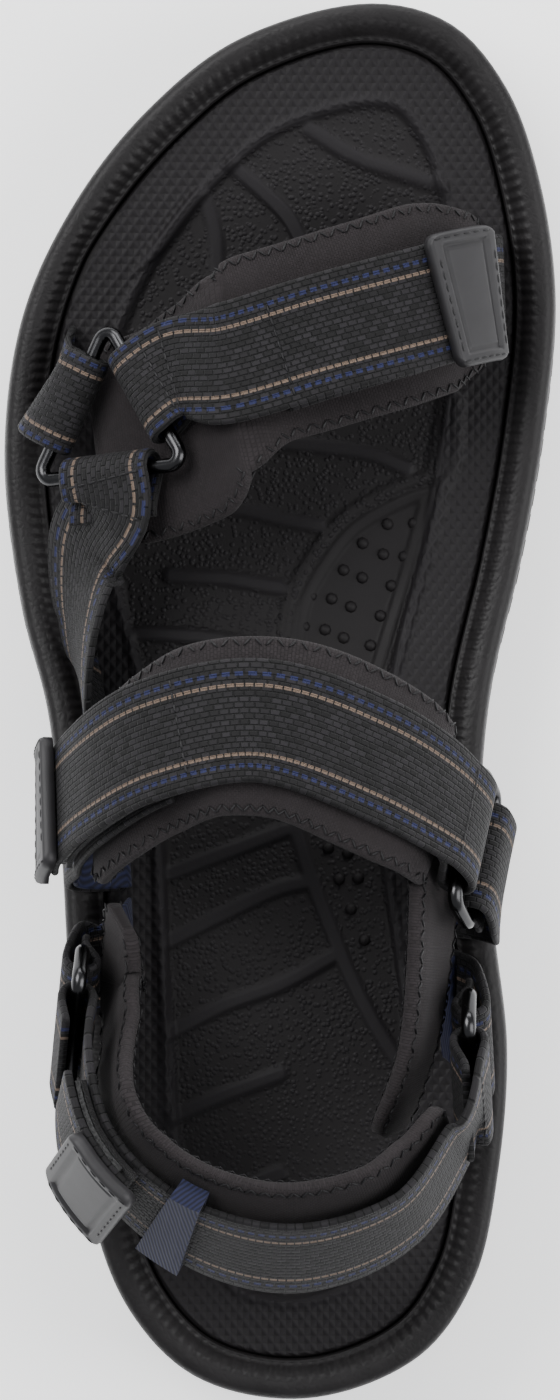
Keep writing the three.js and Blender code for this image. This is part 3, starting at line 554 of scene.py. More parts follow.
FOOTBED_EDGE = RIM_WIDTH + GAP
dense_rays = sole_rays(330, 110)
SHARES = 72
rows = [
    hoop(dense_rays, PAST_MIDDLE, lambda y: bed(y) - FOOTBED_THICKNESS),
    hoop(dense_rays, FOOTBED_EDGE, lambda y: bed(y) - FOOTBED_THICKNESS),
    hoop(dense_rays, FOOTBED_EDGE, lambda y: bed(y) - 0.9),
]
edge_hoop = hoop(dense_rays, FOOTBED_EDGE + 0.5, bed)
middle_hoop = hoop(dense_rays, PAST_MIDDLE, bed)
for step in range(SHARES + 1):
    rows.append(edge_hoop + (middle_hoop - edge_hoop) * step / SHARES)
top_start = len(rows) - SHARES - 1
count = len(dense_rays[2])
top = np.concatenate(rows[top_start:])
plan = top[:, :2]
rise = np.zeros(len(top))
from_rim = np.full(len(top), 1e9)
for k in range(0, len(edge) - 1, 3):
    from_rim = np.minimum(from_rim, np.hypot(*(plan - edge[k, :2]).T))
from_rim -= FOOTBED_EDGE
border = bump_step(np.abs(from_rim - BORDER_WIDTH), 2.2)
panel = smooth_line(PANEL + PANEL[:1], 6)
in_panel = inside(plan, panel)
panel_edge = polyline_distance(plan, panel)
field_mask = (from_rim > BORDER_WIDTH + 1) & ~in_panel
rise -= 0.9 * ease((from_rim - BORDER_WIDTH - 0.2) / 1.4)
rise += 0.5 * border
rib = np.zeros(len(top))
for line in RIBS:
    rib = np.maximum(rib, bump_step(polyline_distance(plan, smooth_line(line)), RIB_WIDTH))
rise = np.where(in_panel, rise, rise + 0.75 * rib * ease((from_rim - BORDER_WIDTH + 3) / 2))
rise += 0.75 * bump_step(np.abs(panel_edge - 1.7), 2.4)
rise -= np.where(in_panel, 0.7 * ease(panel_edge / 3), 0)
rise *= ease(from_rim / 1.2)
top_rows = top.copy()
top_rows[:, 2] += rise
points = np.concatenate([np.concatenate(rows[:top_start]), top_rows])
zones = {
    "border": np.where((from_rim < BORDER_WIDTH) & (from_rim > 0.5), 1.0, 0.0),
    "dots": np.where(field_mask & (rib < 0.2), 1.0, 0.0),
    "ribs": np.clip(rib * field_mask + border, 0, 1),
    "panel": in_panel.astype(float),
}

# Insole foam: matt black, hatched at the border, dotted in the field and smooth in the arch panel; a painted
# highlight lightens its raised ribs, hatching and dots.
footbed_foam, tree, shader = new_material("embossed insole foam", "#181617", 0.65, Specular_IOR_Level=0.2)
place = on_object(tree)
zone = {name: add_node(tree, "ShaderNodeAttribute", attribute_name=name).outputs["Fac"] for name in zones}
turned = add_node(tree, "ShaderNodeMapping", {0: place, 2: (0, 0, math.radians(38))}).outputs[0]
other = add_node(tree, "ShaderNodeMapping", {0: place, 2: (0, 0, math.radians(-38))}).outputs[0]
hatch = [wave_in_mm(tree, v, 2.0, bands_direction="X").outputs["Fac"] for v in (turned, other)]
weave = math_node(tree, "MAXIMUM", *hatch)
dots = voronoi_in_mm(tree, place, 1.15)
domed = {0: dots.outputs["Distance"], 1: 0.2, 2: 0.5, 3: 1.0, 4: 0.0}
dot_height = add_node(tree, "ShaderNodeMapRange", domed)
grain = add_node(tree, "ShaderNodeTexNoise", {"Vector": place, "Scale": 1400.0, "Detail": 3.0})
hatched = math_node(tree, "MULTIPLY", weave, zone["border"])
dotted = math_node(tree, "MULTIPLY", dot_height.outputs[0], zone["dots"])
raised = math_node(tree, "ADD", hatched, dotted)
both = math_node(tree, "MULTIPLY_ADD", grain.outputs["Fac"], 0.25, raised)
bump(tree, shader, both, 0.55, 0.35)
scuff = add_node(tree, "ShaderNodeTexNoise", {"Vector": place, "Scale": 40.0, "Detail": 5.0})
tint = mix(tree, scuff.outputs["Fac"], "#121011", "#1b191a")
# Painted highlight: the raised ribs and border line, then the raised hatching and dots, are coloured a
# lighter #1a181a as if their tops caught the light.
tint_with_painted_rib_highlight = mix(tree, zone["ribs"], tint, "#1a181a")
tree.links.new(mix(tree, raised, tint_with_painted_rib_highlight, "#1a181a"), shader.inputs["Base Color"])
rough = add_node(tree, "ShaderNodeMapRange", {0: scuff.outputs["Fac"], 3: 0.5, 4: 0.75})
tree.links.new(rough.outputs[0], shader.inputs["Roughness"])

faces = []
for row in range(len(rows) - 1):
    base = row * count
    for k in range(count):
        nxt = (k + 1) % count
        faces.append((base + k, base + nxt, base + count + nxt, base + count + k))
footbed = new_mesh("footbed_foam", points, faces, footbed_foam)
for label, values in zones.items():
    full = np.concatenate([np.zeros(top_start * count), values]).astype(np.float32)
    footbed.data.attributes.new(label, "FLOAT", "POINT").data.foreach_set("value", full)
merge_and_face_out(footbed, 0.05)
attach(footbed, "sandal")
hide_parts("footbed")

NUBS = [
    (29.5, 43.8), (23.5, 41.5), (17.5, 38.3), (22.5, 36.8), (28, 37), (12.5, 33.6),
    (17.3, 32.8), (21.6, 30.5), (26, 30), (9, 28), (13.3, 27.2), (17.2, 25.6),
    (23.3, 23.9), (6.5, 21.8), (10.8, 21.2), (14.8, 19.5), (21, 17.6), (5, 15.4),
    (9.4, 14.7), (13.3, 13), (18.9, 11.4), (8.3, 8.3), (13, 6.8), (17.2, 5.2),
    (10, -30.7), (14.1, -31.8), (12.3, -37.2), (16.2, -37), (14.7, -43.4), (17.5, -49.8),
]
nub_seats = [(x, y, float(bed(y)) - (1.75 if k < 24 else 0.95)) for k, (x, y) in enumerate(NUBS)]
level = np.tile((0, 0, 1.0), (len(NUBS), 1))
forward = np.tile((0, 1.0, 0), (len(NUBS), 1))
nubs = instances("footbed_nubs", nub_seats, forward, level, (2.7, 2.7, 2.2), footbed_foam)
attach(nubs, "sandal")

# ---- Metal rings: one triangular, three rectangular -------------------------------------------------------
# Bent and welded steel wire with a dark gunmetal plating. Each joins two pieces of webbing and is attached to
# a body of its own.

WEB_WIDTH = 25
WEB_THICKNESS = 1.6
TAPE_THICKNESS = 1
PAD_THICKNESS = 3.5
TAB_THICKNESS = 2.6
TAB_LENGTH = 15
WIRE_RADIUS = 1.5
RING_REACH = 11
RING_BAR = WEB_WIDTH + 6
DELTA_SIDE = WEB_WIDTH + 11
UP = vec(0, 0, 1)


def along(start, *steps):
    point = np.array(start, float)
    for direction, distance in zip(steps[::2], steps[1::2]):
        point = point + np.array(direction, float) * distance
    return point


def above(x, y, z):
    return vec(x, y, float(bed(y)) + z)


# Plated steel: a dark mirror, a little worn where it is handled.
gunmetal, tree, shader = new_material("gunmetal-plated steel wire", "#3b3b3c", 0.22, Metallic=1.0)
place = on_object(tree)
handling = add_node(tree, "ShaderNodeTexNoise", {"Vector": place, "Scale": 320.0, "Detail": 5.0})
polish = add_node(tree, "ShaderNodeMapRange", {0: handling.outputs["Fac"], 3: 0.14, 4: 0.34})
tree.links.new(polish.outputs[0], shader.inputs["Roughness"])
bump(tree, shader, handling.outputs["Fac"], 0.12, 0.1)


def turn(vector, axis, angle):
    return vector * math.cos(angle) + np.cross(axis, vector) * math.sin(angle)


def wire_ring(name, corners, normal, corner, body):
    path = []
    for i, tip in enumerate(corners):
        before = unit(*(corners[i - 1] - tip))
        after = unit(*(corners[(i + 1) % len(corners)] - tip))
        opening = math.acos(np.clip(before @ after, -1, 1))
        centre = along(tip, unit(*(before + after)), corner / math.sin(opening / 2))
        first = along(tip, before, corner / math.tan(opening / 2)) - centre
        last = along(tip, after, corner / math.tan(opening / 2)) - centre
        axis = unit(*np.cross(first, last))
        path += [centre + turn(first, axis, (math.pi - opening) * k / 8) for k in range(9)]
    sides = 20
    points, faces = [], []
    for i, here in enumerate(path):
        tangent = unit(*(path[(i + 1) % len(path)] - path[i - 1]))
        inward = np.cross(tangent, normal)
        for k in range(sides):
            angle = 2 * math.pi * k / sides
            reach_in, reach_up = WIRE_RADIUS * math.cos(angle), WIRE_RADIUS * math.sin(angle)
            points.append(along(here, inward, reach_in, normal, reach_up))
            a, b = i * sides + k, i * sides + (k + 1) % sides
            step = sides if i + 1 < len(path) else sides - len(path) * sides
            faces.append((a, b, b + step, a + step))
    ring = new_mesh(name + "_wire", points, faces, gunmetal)
    merge_and_face_out(ring)
    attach(ring, body)
    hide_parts(name)


delta_out = unit(-0.5, 0.1, 0.86)
delta_forward = unit(-0.1, 1, 0)
delta_forward = unit(*(delta_forward - delta_out * (delta_forward @ delta_out)))
delta_medial = np.cross(delta_forward, delta_out)
delta_centre = above(-35, 57, 22)


def delta_point(degrees, radius):
    angle = math.radians(degrees)
    across, forward = radius * math.cos(angle), radius * math.sin(angle)
    return along(delta_centre, delta_medial, across, delta_forward, forward)


def delta_bar(degrees):
    into = unit(*(delta_point(degrees, 1) - delta_centre))
    return delta_point(degrees, DELTA_SIDE / math.sqrt(12)), into, delta_out


DELTA_CORNER = 2.2
tips = [delta_point(degrees, DELTA_SIDE / math.sqrt(3)) for degrees in (90, 210, 330)]
wire_ring("forefoot_ring", tips, delta_out, DELTA_CORNER, "forefoot_ring")


def rectangular_ring(name, centre, span, towards):
    bar = unit(*np.cross(towards, span))
    out = unit(*np.cross(span, bar))
    corners = [
        along(centre, span, a * RING_REACH / 2, bar, b * RING_BAR / 2)
        for a, b in ((-1, -1), (1, -1), (1, 1), (-1, 1))
    ]
    wire_ring(name, corners, out, 3, name)
    return {
        "out": out,
        "span": span,
        "lower": along(centre, span, -RING_REACH / 2),
        "upper": along(centre, span, RING_REACH / 2),
    }


SLOT_PITCH = WEB_WIDTH + 1
INSTEP_SLOT = -27
SIDE_SLOT = INSTEP_SLOT + SLOT_PITCH
HEEL_LATERAL_SLOT = INSTEP_SLOT - SLOT_PITCH
INSTEP_MEDIAL_SLOT = -36
HEEL_MEDIAL_SLOT = INSTEP_MEDIAL_SLOT - SLOT_PITCH
instep_ring = rectangular_ring(
    "instep_ring", above(39.5, INSTEP_MEDIAL_SLOT + 6, 32), unit(-0.3, 0.55, 0.78), unit(0.93, 0, 0.36)
)
heel_span = unit(-0.05, -0.62, 0.78)
heel_medial_ring = rectangular_ring(
    "heel_medial_ring", above(39, HEEL_MEDIAL_SLOT - 12, 26), heel_span, unit(1, 0, 0.1)
)
heel_lateral_ring = rectangular_ring(
    "heel_lateral_ring", above(-41.5, HEEL_LATERAL_SLOT - 12, 26), heel_span, unit(-1, 0, 0.15)
)

# ---- Webbing straps ---------------------------------------------------------------------------------------
# Narrow polyester webbing, woven on a needle loom, with a tan pick line and a dashed navy line near each
# edge. Each end turns round a ring's bar and is sewn down on itself, or goes into a slot in the footbed.

EYE_RADIUS = 3.2
EYE_TAIL = 10
ANCHOR_TAIL = 7
EYE_FLAT = 8
SHORT_FLAT = 6
TAIL_RUN = 2
EYE_TOP = EYE_RADIUS - 1.5
EYE_UNDER = EYE_TOP - WEB_THICKNESS - 1.5 * GAP
EYE_LENGTH = EYE_TAIL + math.pi * EYE_RADIUS + EYE_FLAT
SLOT_INSET = RIM_WIDTH + 3.6
SLOT_DEPTH = 3
SLOT_RISE = 5
SECTION_PITCH = 3


class Route:
    """A smooth line with a direction away from the foot at each station."""

    def __init__(self, stations):
        self.points = [p for p, _ in stations]
        self.normals = [n for _, n in stations]
        self.shares = np.linspace(0, 1, 401)
        line = np.array([spline_point(self.points, t) for t in self.shares])
        self.run = np.concatenate([[0], np.cumsum(np.linalg.norm(np.diff(line, axis=0), axis=1))])
        self.length = float(self.run[-1])

    def frame(self, distance):
        t = float(np.interp(distance, self.run, self.shares))
        spacing = len(self.points) - 1
        k = min(int(t * spacing), spacing - 1)
        low, high = max(t - 1e-4, 0), min(t + 1e-4, 1)
        tangent = unit(*(spline_point(self.points, high) - spline_point(self.points, low)))
        out = self.normals[k] + (self.normals[k + 1] - self.normals[k]) * (t * spacing - k)
        across = unit(*np.cross(out, tangent))
        return spline_point(self.points, t), tangent, across, np.cross(tangent, across)

    def nearest(self, point, start=0, end=None):
        best = self.length if end is None else end
        for s in np.arange(math.ceil(start / SECTION_PITCH) * SECTION_PITCH, best + 1e-6, SECTION_PITCH):
            if np.linalg.norm(self.frame(s)[0] - point) < np.linalg.norm(self.frame(best)[0] - point):
                best = float(s)
        return best

    def follow(self, start, end, lift, count):
        stations = []
        for distance in np.linspace(start, end, count):
            at, _, _, out = self.frame(distance)
            stations.append((along(at, out, read(lift, distance)), out))
        return stations


def read(value, *where):
    return value(*where) if callable(value) else value


def levels(*knots):
    """A value that eases from one (distance, value) knot to the next."""

    def level(distance):
        value = knots[0][1]
        for (start, low), (end, high) in zip(knots, knots[1:]):
            if distance > start:
                value = low + (high - low) * float(ease((distance - start) / (end - start)))
        return value

    return level


def shares(route, *knots):
    return levels(*[(share * route.length, level) for share, level in knots])


def eye(bar, into, out, tail=EYE_TAIL, flat=EYE_FLAT):
    def place_at(distance, height):
        return along(bar, into, distance, out, height)

    stations = [(place_at(tail, EYE_UNDER), -out), (place_at(tail - TAIL_RUN, EYE_UNDER), -out)]
    for i in range(5):
        angle = -math.pi / 2 - math.pi * i / 4
        normal = into * math.cos(angle) + out * math.sin(angle)
        stations.append((along(bar, normal, EYE_RADIUS), normal))
    return stations + [(place_at(flat, EYE_TOP), out)]


def slot_stations(y, side):
    def beside(at):
        start = vec(HEEL_CENTRE[0], at, 0)
        return along(start, (side, 0, 0), reach(start, vec(side, 0)) - SLOT_INSET)

    edgeway = unit(*(beside(y + 8) - beside(y - 8)))
    normal = unit(*np.cross(edgeway, (0, 0, side)))
    return [(along(beside(y), UP, float(bed(y)) + h), normal) for h in (SLOT_RISE, 1, -SLOT_DEPTH)]


ACROSS = [-1, -0.985, -0.96, -0.93, -0.8, -0.55, -0.28, 0, 0.28, 0.55, 0.8, 0.93, 0.96, 0.985, 1]


def slab(name, route, start, end, material, width=WEB_WIDTH, thickness=WEB_THICKNESS, lift=0, shift=0,
         across=None, step=1.0, top=None, bottom=None):
    """A flat piece laid along a route, from its top and bottom heights (functions of the place across, -1 to
    1, and the distance). Its UV is the place across and the distance, in metres."""
    across = across or ACROSS
    places = np.linspace(start, end, max(int((end - start) / step), 2) + 1)
    half = thickness / 2

    def round_edge(u, s):
        room = (1 - abs(u)) * read(width, s) / 2
        return half * math.sqrt(max(1 - max(1 - room / half, 0) ** 2, 0.03))

    top = top or round_edge
    bottom = bottom or (lambda u, s: -round_edge(u, s))
    rows, tangents, uv = [], [], []
    for s in places:
        at, tangent, side, out = route.frame(s)
        middle = along(at, out, read(lift, s), side, read(shift, s))
        wide = read(width, s) / 2
        upper = [along(middle, side, u * wide, out, top(u, s)) for u in across]
        lower = [along(middle, side, u * wide, out, bottom(u, s)) for u in across]
        rows.append([upper, lower])
        tangents.append(tangent)
        uv += [(u * wide * MM, s * MM) for u in across] + [(u * wide * MM, s * MM) for u in reversed(across)]
    rows = np.array(rows)
    for i in range(1, len(rows)):
        onward = unit(*(tangents[i - 1] + tangents[i]))
        advance = ((rows[i] - rows[i - 1]) @ onward).min(axis=0)
        push = np.maximum(0.1 * step - advance, 0)
        rows[i] += push[None, :, None] * onward
    count = 2 * len(across)
    points = np.concatenate([np.concatenate([upper, lower[::-1]]) for upper, lower in rows])
    faces = []
    for i in range(len(rows) - 1):
        for k in range(count):
            a, b = i * count + k, i * count + (k + 1) % count
            faces.append((a, a + count, b + count, b))
    last = (len(rows) - 1) * count
    for k in range(len(across) - 1):
        mirror = count - 1 - k
        faces.append((k, k + 1, mirror - 1, mirror))
        faces.append((last + k, last + mirror, last + mirror - 1, last + k + 1))
    thing = new_mesh(name, points, faces, material)
    layer = thing.data.uv_layers.new(name="cloth")
    corner_uv = [uv[v] for polygon in faces for v in polygon]
    layer.data.foreach_set("uv", np.array(corner_uv, float).ravel())
    merge_and_face_out(thing, 0.01)
    return thing


def settle(thing, body, slot_name, *nodes):
    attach(thing, body)
    if nodes:
        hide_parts(*nodes)
    return thing


# Polyester webbing: near-black yarns in short ovals that catch the light, a tan line and a navy dashed line.
webbing, tree, shader = new_material(
    "woven polyester webbing", "#131213", 0.7, Sheen_Weight=0.03, Specular_IOR_Level=0.25
)
cloth = add_node(tree, "ShaderNodeUVMap", uv_map="cloth").outputs[0]
split = add_node(tree, "ShaderNodeSeparateXYZ", {0: cloth})
lengthwise = add_node(tree, "ShaderNodeCombineXYZ", {0: split.outputs[1], 1: split.outputs[0]})
weave_inputs = {"Vector": lengthwise.outputs[0], "Color1": linear("#060506"), "Color2": linear("#1e1c1f")}
weave_inputs |= {"Mortar": linear("#020202"), "Scale": 1 / MM, "Mortar Size": 0.22, "Mortar Smooth": 0.9}
weave_inputs |= {"Brick Width": 1.9, "Row Height": 1.15, "Bias": -0.1}
yarns = add_node(tree, "ShaderNodeTexBrick", weave_inputs)
from_middle = math_node(tree, "ABSOLUTE", split.outputs[0])
colour = yarns.outputs["Color"]
woven_lines = [  # middle, half width, dash pitch and gap, in mm, and colour
    (6.95, 0.34, 1.6, 0.14, "#6a5a4e"),
    (9.25, 0.42, 2.2, 0.42, "#1c2145"),
]
for middle, half_width, pitch, gap, shade in woven_lines:
    on_line = math_node(tree, "COMPARE", from_middle, middle * MM, half_width * MM)
    beat = math_node(tree, "PINGPONG", split.outputs[1], pitch / 2 * MM)
    dash = math_node(tree, "GREATER_THAN", beat, gap * MM)
    colour = mix(tree, math_node(tree, "MULTIPLY", on_line, dash), colour, shade)
tree.links.new(colour, shader.inputs["Base Color"])
bump(tree, shader, math_node(tree, "SUBTRACT", 1.0, yarns.outputs["Fac"]), 0.9, 0.45)

# Bonded nylon thread: black with a slight shine.
thread, tree, shader = new_material("bonded nylon thread", "#0f0e10", 0.5, Specular_IOR_Level=0.3)
place = on_object(tree)
ply = add_node(tree, "ShaderNodeTexNoise", {"Vector": place, "Scale": 2500.0})
bump(tree, shader, ply.outputs["Fac"], 0.3, 0.1)

stitches = {}


def stitch(group, route, s, x, height, slant=0.0, lift=0, shift=0):
    at, tangent, side, out = route.frame(s)
    seat = along(at, out, read(lift, s) + height, side, x + read(shift, s))
    direction = side * math.sin(slant) + tangent * math.cos(slant)
    found = stitches.setdefault(group, ([], [], []))
    for values, value in zip(found, (seat, direction, out)):
        values.append(value)


STITCH_PITCH = 2.5


def cross_seam(group, route, s, height, reach_mm=9.5, lift=0):
    for x in np.arange(-reach_mm, reach_mm + 0.1, STITCH_PITCH):
        stitch(group, route, s, x, height, math.pi / 2, lift)


def long_seam(group, route, start, end, x, height, lift=0, shift=0, slant=0.0, pitch=STITCH_PITCH):
    sign = 1
    for s in np.arange(start, end, pitch):
        stitch(group, route, s, read(x, s), height, slant * sign, lift, shift)
        sign = -sign


HOOK_LIFT = -(WEB_THICKNESS + TAPE_THICKNESS) / 2 - GAP
LOOP_LIFT = HOOK_LIFT - TAPE_THICKNESS - GAP
BASE_LIFT = LOOP_LIFT - (WEB_THICKNESS + TAPE_THICKNESS) / 2 - GAP
PAD_LIFT = -(WEB_THICKNESS + PAD_THICKNESS) / 2 - GAP
TAB_LIFT = (WEB_THICKNESS + TAB_THICKNESS) / 2 + 1.4 * GAP
LINING_LIFT = -(WEB_THICKNESS + TAPE_THICKNESS) / 2 - GAP
FACE = WEB_THICKNESS / 2

delta_width = levels((EYE_LENGTH + 2, DELTA_SIDE - 15), (EYE_LENGTH + 12, WEB_WIDTH))
forefoot_route = Route(
    eye(*delta_bar(30))
    + [
        (above(-11, 68.5, 35.5), unit(-0.12, 0.1, 1)),
        (above(8, 74, 37), unit(0.05, 0.1, 1)),
        (above(26, 79, 33.5), unit(0.35, 0.1, 1)),
        (above(40, 83, 24), unit(0.8, 0.1, 0.6)),
        (above(46.5, 84, 13), unit(1, 0.05, 0.2)),
    ]
    + slot_stations(84, 1)
)
forefoot_fold = forefoot_route.nearest(above(-4, 71, 36.5))
forefoot_end = forefoot_route.nearest(above(40, 83, 24))
forefoot_anchor_lift = levels((forefoot_end, BASE_LIFT), (forefoot_end + 20, 0))


def peel_strap(name, route, fold, end, width, flap_body, *nodes):
    """A strap laid as one piece along its route up to its free end; the frame's strap pieces are hidden."""
    strap = slab(name, route, 0, end, webbing, width=width)
    before, after = route.frame(fold - 0.5)[0] * MM, route.frame(fold + 4)[0] * MM
    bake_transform(strap)
    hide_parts(*nodes)


peel_strap(
    "forefoot_webbing", forefoot_route, forefoot_fold, forefoot_end, delta_width,
    "forefoot_flap", "forefoot_strap", "forefoot_flap",
)
forefoot_anchor = slab(
    "forefoot_medial_webbing", forefoot_route, forefoot_fold + SECTION_PITCH, forefoot_route.length, webbing,
    lift=forefoot_anchor_lift,
)
settle(forefoot_anchor, "sandal", "striped_webbing", "forefoot_medial_anchor")
for back in (2.5, 5.5):
    cross_seam("sandal", forefoot_route, EYE_TAIL + math.pi * EYE_RADIUS + EYE_TAIL - back + 1, FACE, 7.5)
cross_seam("forefoot_flap", forefoot_route, forefoot_fold + 5, FACE)

forefoot_lateral_route = Route(eye(*delta_bar(150), SHORT_FLAT, SHORT_FLAT) + slot_stations(66, -1))
lateral_anchor = slab(
    "forefoot_lateral_webbing", forefoot_lateral_route, 0, forefoot_lateral_route.length, webbing,
    width=delta_width,
)
settle(lateral_anchor, "sandal", "striped_webbing", "forefoot_lateral_anchor")

side_route = Route(
    eye(*delta_bar(270))
    + [
        (above(-39.5, 31, 18.5), unit(-0.72, 0, 0.7)),
        (above(-41.5, 16, 17), unit(-0.94, 0, 0.34)),
        (above(-40.5, SIDE_SLOT + 4, 13), unit(-1, 0, 0.1)),
    ]
    + slot_stations(SIDE_SLOT, -1)
)
side_strap = slab("side_webbing", side_route, 0, side_route.length, webbing, width=delta_width)
settle(side_strap, "sandal", "striped_webbing", "side_strap")
for back in (1.5, 7.5):
    cross_seam("sandal", side_route, EYE_TAIL + math.pi * EYE_RADIUS + EYE_TAIL - back, FACE, 7.5)

instep_route = Route(
    eye(instep_ring["upper"], instep_ring["span"], instep_ring["out"])
    + [
        (above(20, -12, 58), unit(0.45, 0.1, 0.9)),
        (above(-4, -4, 66), unit(0, 0.2, 1)),
        (above(-26, -8, 60), unit(-0.45, 0.15, 0.85)),
        (above(-41, -17, 43), unit(-0.88, 0.1, 0.45)),
        (above(-46, -24, 22), unit(-1, 0, 0.05)),
        (above(-42, INSTEP_SLOT, 9), unit(-0.95, 0, -0.2)),
    ]
    + slot_stations(INSTEP_SLOT, -1)
)
instep_fold = instep_route.nearest(above(-22, -7, 62))
instep_end = instep_route.nearest(above(-46, -24, 22))
instep_anchor_lift = levels((instep_end, BASE_LIFT), (instep_end + 14, 0))
peel_strap(
    "instep_webbing", instep_route, instep_fold, instep_end, WEB_WIDTH,
    "instep_flap", "instep_strap", "instep_flap",
)
instep_anchor = slab(
    "instep_lateral_webbing", instep_route, instep_fold + SECTION_PITCH, instep_route.length, webbing,
    lift=instep_anchor_lift,
)
settle(instep_anchor, "sandal", "striped_webbing", "instep_lateral_anchor")
instep_medial_route = Route(
    eye(instep_ring["lower"], -instep_ring["span"], instep_ring["out"], ANCHOR_TAIL)
    + [(above(37.5, INSTEP_MEDIAL_SLOT - 0.5, 12.5), unit(1, 0, -0.4))]
    + slot_stations(INSTEP_MEDIAL_SLOT, 1)
)
medial_anchor = slab("instep_medial_webbing", instep_medial_route, 0, instep_medial_route.length, webbing)
settle(medial_anchor, "sandal", "striped_webbing", "instep_medial_anchor")
cross_seam("sandal", instep_route, EYE_TAIL + math.pi * EYE_RADIUS + EYE_TAIL - 2, FACE)
cross_seam("sandal", instep_route, instep_fold - 4, FACE)

heel_turn = eye(heel_lateral_ring["upper"], heel_lateral_ring["span"], heel_lateral_ring["out"])[2:]
before_ring = along(
    heel_lateral_ring["upper"], heel_lateral_ring["span"], EYE_FLAT,
    heel_lateral_ring["out"], EYE_TOP + BASE_LIFT,
)
heel_back_point = above(3, HEEL_MEDIAL_SLOT - 49.5, 46)
heel_route = Route(
    eye(heel_medial_ring["upper"], heel_medial_ring["span"], heel_medial_ring["out"])
    + [
        (above(36, HEEL_MEDIAL_SLOT - 27, 38), unit(0.95, -0.2, 0.25)),
        (above(25, HEEL_MEDIAL_SLOT - 42, 43.5), unit(0.6, -0.65, 0.45)),
        (heel_back_point, unit(0, -0.8, 0.6)),
        (above(-19, HEEL_LATERAL_SLOT - 53, 44.5), unit(-0.55, -0.65, 0.5)),
        (above(-35.5, HEEL_LATERAL_SLOT - 38, 42.5), unit(-0.88, -0.3, 0.35)),
        (before_ring, heel_lateral_ring["out"]),
    ]
    + [(p, -n) for p, n in heel_turn]
)
heel_back = heel_route.nearest(heel_back_point)
heel_turn_start = heel_route.length - EYE_FLAT - math.pi * EYE_RADIUS
ring_side = along(heel_lateral_ring["upper"], heel_lateral_ring["span"], 16)
heel_flap_start = heel_route.nearest(ring_side, heel_back, heel_turn_start)
heel_flap_end = heel_route.nearest(above(-29, HEEL_LATERAL_SLOT - 45, 42), heel_back, heel_flap_start)
heel_strap = slab("heel_webbing", heel_route, 0, heel_route.length, webbing)
settle(heel_strap, "sandal", "striped_webbing", "heel_strap")
heel_flap = slab(
    "heel_flap_webbing", heel_route, heel_flap_end, heel_flap_start + 1.5, webbing, lift=-BASE_LIFT
)
settle(heel_flap, "heel_flap", "striped_webbing", "heel_flap")
cross_seam("sandal", heel_route, EYE_TAIL + math.pi * EYE_RADIUS + EYE_TAIL - 2, FACE)
heel_anchors = [  # ring, slot, side, station over the slot and how far the webbing is drawn in there
    ("medial", heel_medial_ring, HEEL_MEDIAL_SLOT, 1, 38, 12, unit(1, 0, -0.1), 0),
    ("lateral", heel_lateral_ring, HEEL_LATERAL_SLOT, -1, -38, 11.5, unit(-1, 0.15, -0.1), 6),
]
for place_name, ring, slot_y, side, x, height, normal, gather in heel_anchors:
    route = Route(
        eye(ring["lower"], -ring["span"], ring["out"], ANCHOR_TAIL)
        + [(above(x, slot_y - 2, height), normal)]
        + slot_stations(slot_y, side)
    )
    gathered = shares(route, (0.5, WEB_WIDTH), (0.68, WEB_WIDTH - gather))
    anchor = slab(f"heel_{place_name}_webbing", route, 0, route.length, webbing, width=gathered)
    settle(anchor, "sandal", "striped_webbing", f"heel_{place_name}_anchor")
    ring["route"] = route

# ---- Padded collars under the forefoot, instep and heel straps --------------------------------------------
# Neoprene foam between two knitted faces, thick in the middle and pressed thin at its overlocked edges.
# The straps lie on them, and each is caught under a ring or in a slot at its ends.

# Knitted nylon over foam: a dull, slightly brown black with a fine even stitch.
neoprene, tree, shader = new_material(
    "knit-faced neoprene", "#171516", 0.85, Sheen_Weight=0.04, Specular_IOR_Level=0.2
)
cloth = add_node(tree, "ShaderNodeUVMap", uv_map="cloth").outputs[0]
knit_inputs = {"Vector": cloth, "Scale": 1 / MM, "Brick Width": 0.9, "Row Height": 0.55}
knit_inputs |= {"Mortar": linear("#121011"), "Mortar Size": 0.12, "Mortar Smooth": 1.0}
knit_inputs |= {"Color1": linear("#1f1c1d"), "Color2": linear("#2a2628")}
knit = add_node(tree, "ShaderNodeTexBrick", knit_inputs)
place = on_object(tree)
cloudy = add_node(tree, "ShaderNodeTexNoise", {"Vector": place, "Scale": 60.0, "Detail": 4.0})
faded = mix(tree, cloudy.outputs["Fac"], knit.outputs["Color"], "#272324")
tree.links.new(faded, shader.inputs["Base Color"])
bump(tree, shader, math_node(tree, "SUBTRACT", 1.0, knit.outputs["Fac"]), 0.5, 0.25)

PAD_EDGE = 0.75
PAD_HALF = [0.2, 0.4, 0.6, 0.72, 0.82, 0.9, 0.95, 0.985, 1]
PAD_ACROSS = [-u for u in reversed(PAD_HALF)] + [0] + PAD_HALF
PAD_CROWN_REACH = 7.0
PAD_CORNER = 6
PAD_UNDERSIDE = 1.25
SEAM_INSET = 1.3
under_delta = EYE_RADIUS + WEB_THICKNESS / 2 + GAP + PAD_THICKNESS / 2 + 0.5
under_ring = under_delta + 2.4
KEEPER_WALL = 1.2


